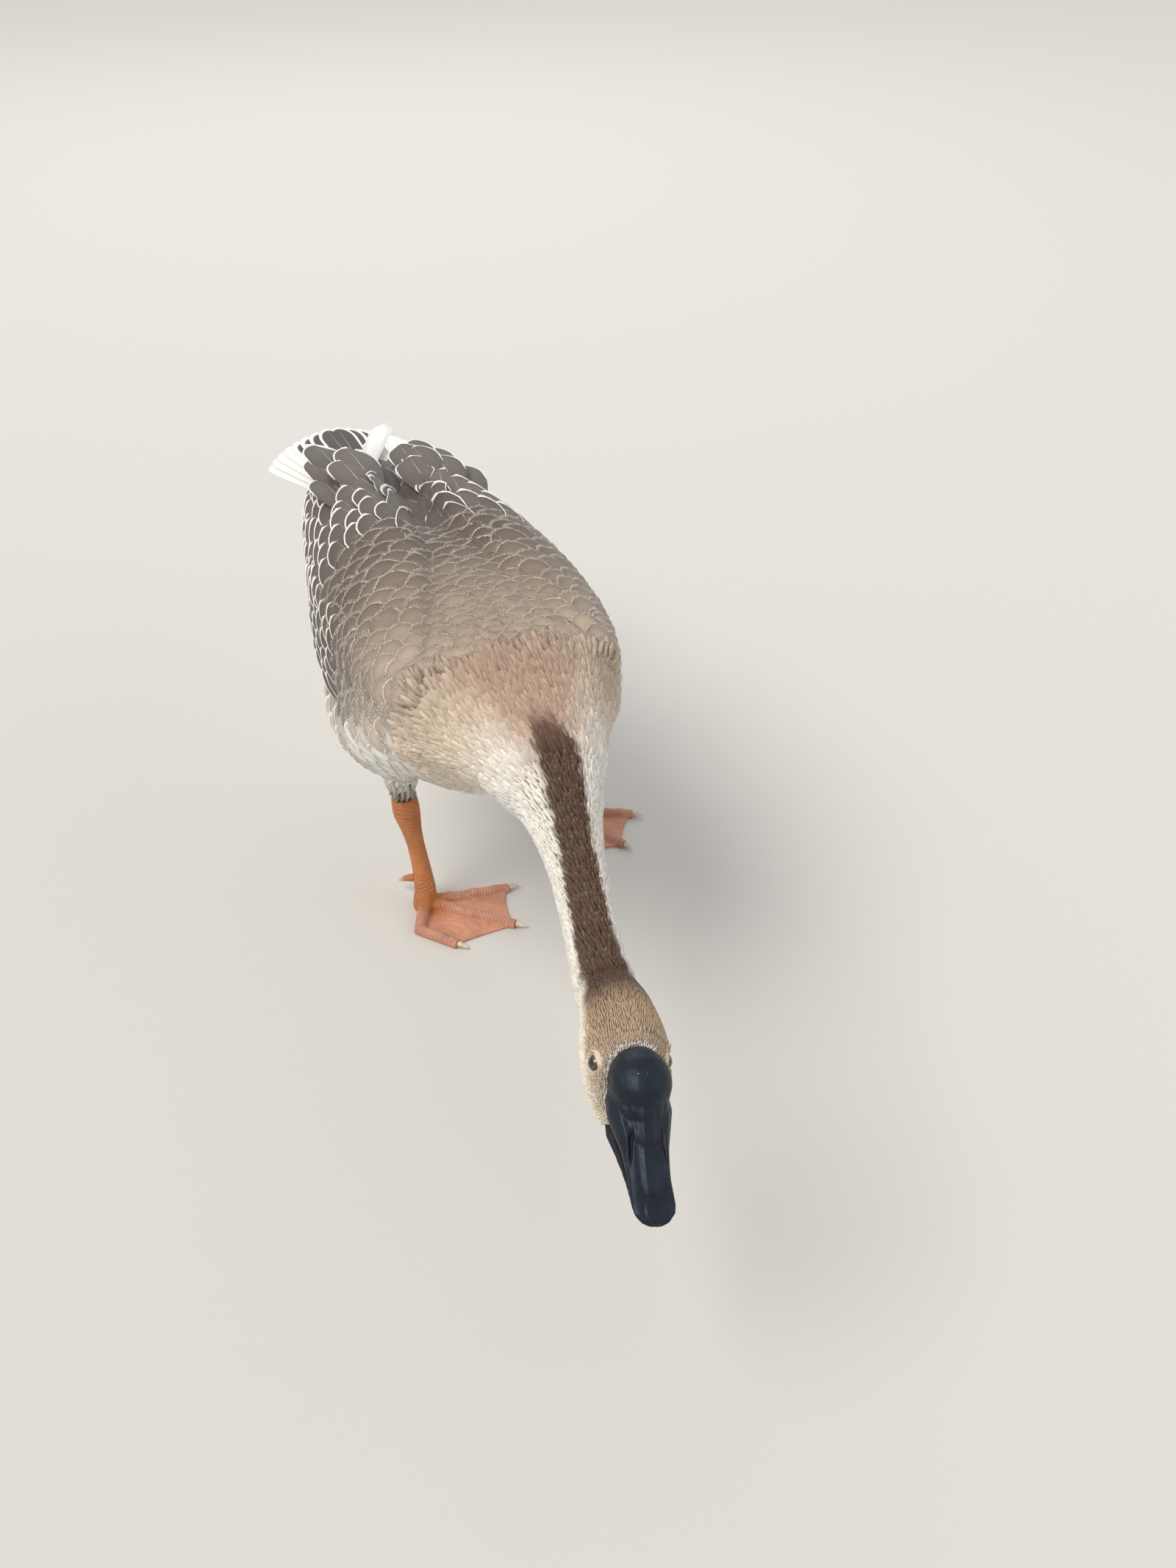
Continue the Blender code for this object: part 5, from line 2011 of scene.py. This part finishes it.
# A shader group for scaly skin: small plates with grooves between them.
def scaleMarks():
    inputs = {"Color": "Color", "Size": "Float", "Groove": "Float"}
    tree, given, made = newGroup("scaleMarks", inputs, {"Color": "Color", "Height": "Float"})
    coords = objectPlace(tree)
    warp = noise(tree, coords, scaleLook["warp"], 2.0)
    shift = joinVector(tree, warp, warp, warp)
    inputs = {0: shift, 1: coords, 2: coords}
    bent = addNode(tree, "ShaderNodeVectorMath", inputs, operation="MULTIPLY_ADD").outputs[0]
    inputs = {"Vector": bent, "Scale": given.outputs["Size"]}
    cells = addNode(tree, "ShaderNodeTexVoronoi", inputs, feature="DISTANCE_TO_EDGE")
    plate = ramp(tree, cells.outputs["Distance"], 0.0, scaleLook["gap"])
    scale, *patches = scaleLook["patches"]
    patchy = ramp(tree, noise(tree, coords, scale, 4.0, 0.65), *patches)
    scale, *grain = scaleLook["grain"]
    fine = noise(tree, coords, scale, 2.0)
    light = minus(tree, 1.0, times(tree, minus(tree, 1.0, plate), scaleLook["lineShade"]))
    light = times(tree, times(tree, light, patchy), ramp(tree, fine, *grain))
    # painted shade: the grooves are darkened by up to half
    grooved = times(tree, given.outputs["Groove"], scaleLook["grooveShade"])
    light = times(tree, light, minus(tree, 1.0, grooved))
    plateHeight, grainHeight = scaleLook["heights"]
    height = plus(tree, times(tree, plate, plateHeight), times(tree, fine, grainHeight))
    giveOut(tree, made, Color=shade(tree, given.outputs["Color"], light), Height=height)
    return tree


def legMaterial():
    fixed = {"Roughness": 0.5, "Subsurface Weight": 0.12, "Subsurface Scale": 0.003}
    material, tree, shader = newMaterial("legSkin", fixed)
    orange = mixColour(tree, attribute(tree, "pink"), rgba(colours["leg"]), rgba(colours["toes"]))
    inputs = {"Color": orange, "Size": 560.0, "Groove": attribute(tree, "groove")}
    marks = addNode(tree, "ShaderNodeGroup", inputs, node_tree=scaleMarks()).outputs
    rough = ramp(tree, marks["Height"], 0.2, 0.9, 0.62, 0.46)
    linkSurface(tree, shader, marks["Color"], rough, (marks["Height"], 0.55, 0.0006))
    return material


def clawMaterial():
    material, tree, shader = newMaterial("clawHorn", {"Roughness": 0.4})
    marks = hornNode(tree, "claw", "clawWorn", 0.0)
    rough = ramp(tree, marks["Wear"], 0.3, 0.75, 0.34, 0.5)
    linkSurface(tree, shader, marks["Color"], rough, (marks["Height"], 0.3, 0.0003))
    return material


# A smooth claw from the CAD one, its root drawn back a little into the toe.
def makeClaw(toe, side, material):
    node = f"claw_{toe}_{side}"
    claw = joinNodes(f"claw{toe.title()}{side.title()}", [node])
    subdivide = claw.modifiers.new("smooth", "SUBSURF")
    subdivide.levels = subdivide.render_levels = 2
    applyModifiers(claw)
    middle = np.array(boxMiddle(node))
    points = middle + (meshPoints(claw.data) - middle) * 1.06
    points[:, 2] = np.maximum(points[:, 2], 0.0001)
    setPoints(claw.data, points)
    finishWith(claw, material)
    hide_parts(node)
    return claw


# An oval ball that joins the hind toe to the ankle.
def hindJoint(side):
    points = nodePoints(f"hind_toe_{side}")
    ankle = heelOf(side)
    ankle[2] = points[:, 2].max() - 0.004
    nearest = points[np.linalg.norm(points - ankle, axis=1).argmin()]
    return 0.65 * nearest + 0.35 * ankle, (0.0042, 0.0042, 0.0042), np.eye(3)


def makeLegs():
    made = []
    skinOfLeg, horn = legMaterial(), clawMaterial()
    for side in sides:
        nodes = [f"shank_{side}", f"foot_{side}", f"hind_toe_{side}"]
        leg = remeshed(f"leg{side.title()}", nodes, legSet["voxel"], 5, [hindJoint(side)])
        shapeLeg(leg, side)
        finishWith(leg, skinOfLeg)
        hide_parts(*nodes)
        print("leg", side, len(leg.data.polygons), "faces")
        made.append(leg)
        made += [makeClaw(toe, side, horn) for toe in (*toeNames, "hind")]
    return made


headPieces = makeBill()
eyeFinish = eyeMaterial()
headPieces += [makeEye(side, eyeFinish) for side in sides]
legPieces = makeLegs()


# ---- skin's finish: the coat's colours, darkened in painted shade where the skin shows between feathers ----
def skinMaterial():
    material, tree, shader = newMaterial("skin", {"Roughness": 0.8})
    fine = noise(tree, objectPlace(tree), 900.0, 3.0)
    # painted shade: the skin is 0.72 to 0.95 as light as the coat's colour, with an uneven fine tone
    colour = shade(tree, attribute(tree, "tint", "Color"), ramp(tree, fine, 0.3, 0.7, 0.72, 0.95))
    linkSurface(tree, shader, colour, None, (fine, 0.4, 0.0005))
    return material


def finishSkin():
    points = meshPoints(skin.data)
    setAttribute(skin.data, "tint", "FLOAT_COLOR", plumage(points, anglesOf(points)))
    finishWith(skin, skinMaterial())


finishSkin()


# ---- stage, camera and lights ----
viewSet = {"place": (-0.4188, -1.1441, 0.97), "turn": 22.0, "drop": 33.5, "lens": 40.5, "sensor": 36}
# Lights aim at the goose. The key light is a soft sun and its size is in degrees, the others are squares.
lightAim = Vector((0, 0, 0.15))
lightSet = {
    "keyLight": {
        "kind": "SUN", "from": (-2.2, -0.6, 3.2), "size": 32,
        "power": 2.1, "colour": (1.0, 0.98, 0.95),
    },
    "fillLight": {
        "kind": "AREA", "from": (2.6, -2.2, 2.2), "size": 3.0,
        "power": 22, "colour": (0.95, 0.97, 1.0),
    },
    "backLight": {
        "kind": "AREA", "from": (0.6, 3.0, 2.4), "size": 2.4,
        "power": 24, "colour": (1.0, 1.0, 1.0),
    },
}
skyLight = {"Color": (0.93, 0.96, 1.0, 1.0), "Strength": 0.62}


def makeStage():
    bpy.ops.mesh.primitive_plane_add(size=30)
    floor = bpy.context.object
    floor.name = "floor"
    fixed = {"Roughness": 0.85, "Base Color": rgba(colours["floor"])}
    floor.data.materials.append(newMaterial("paleFloor", fixed)[0])


def makeCamera():
    data = bpy.data.cameras.new("camera")
    data.lens = viewSet["lens"]
    data.sensor_width = viewSet["sensor"]
    camera = newObject("camera", data)
    camera.location = viewSet["place"]
    camera.rotation_euler = (math.radians(90 - viewSet["drop"]), 0, -math.radians(viewSet["turn"]))
    bpy.context.scene.camera = camera


def makeLights():
    for name, settings in lightSet.items():
        data = bpy.data.lights.new(name, settings["kind"])
        if settings["kind"] == "SUN":
            data.angle = math.radians(settings["size"])
        else:
            data.size = settings["size"]
        data.energy = settings["power"]
        data.color = settings["colour"]
        lamp = newObject(name, data)
        lamp.location = settings["from"]
        lamp.rotation_euler = (lightAim - lamp.location).to_track_quat("-Z", "Y").to_euler()
    world = bpy.data.worlds.new("studio")
    world.use_nodes = True
    for key, value in skyLight.items():
        world.node_tree.nodes["Background"].inputs[key].default_value = value
    bpy.context.scene.world = world


makeStage()
makeCamera()
makeLights()
bpy.context.scene.view_settings.view_transform = "Standard"

# ---- the pieces go onto the body, and the CAD flesh is hidden ----
for piece in [skin, *coat, *headPieces, *legPieces]:
    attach(piece, bodyName)
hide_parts(*flesh)
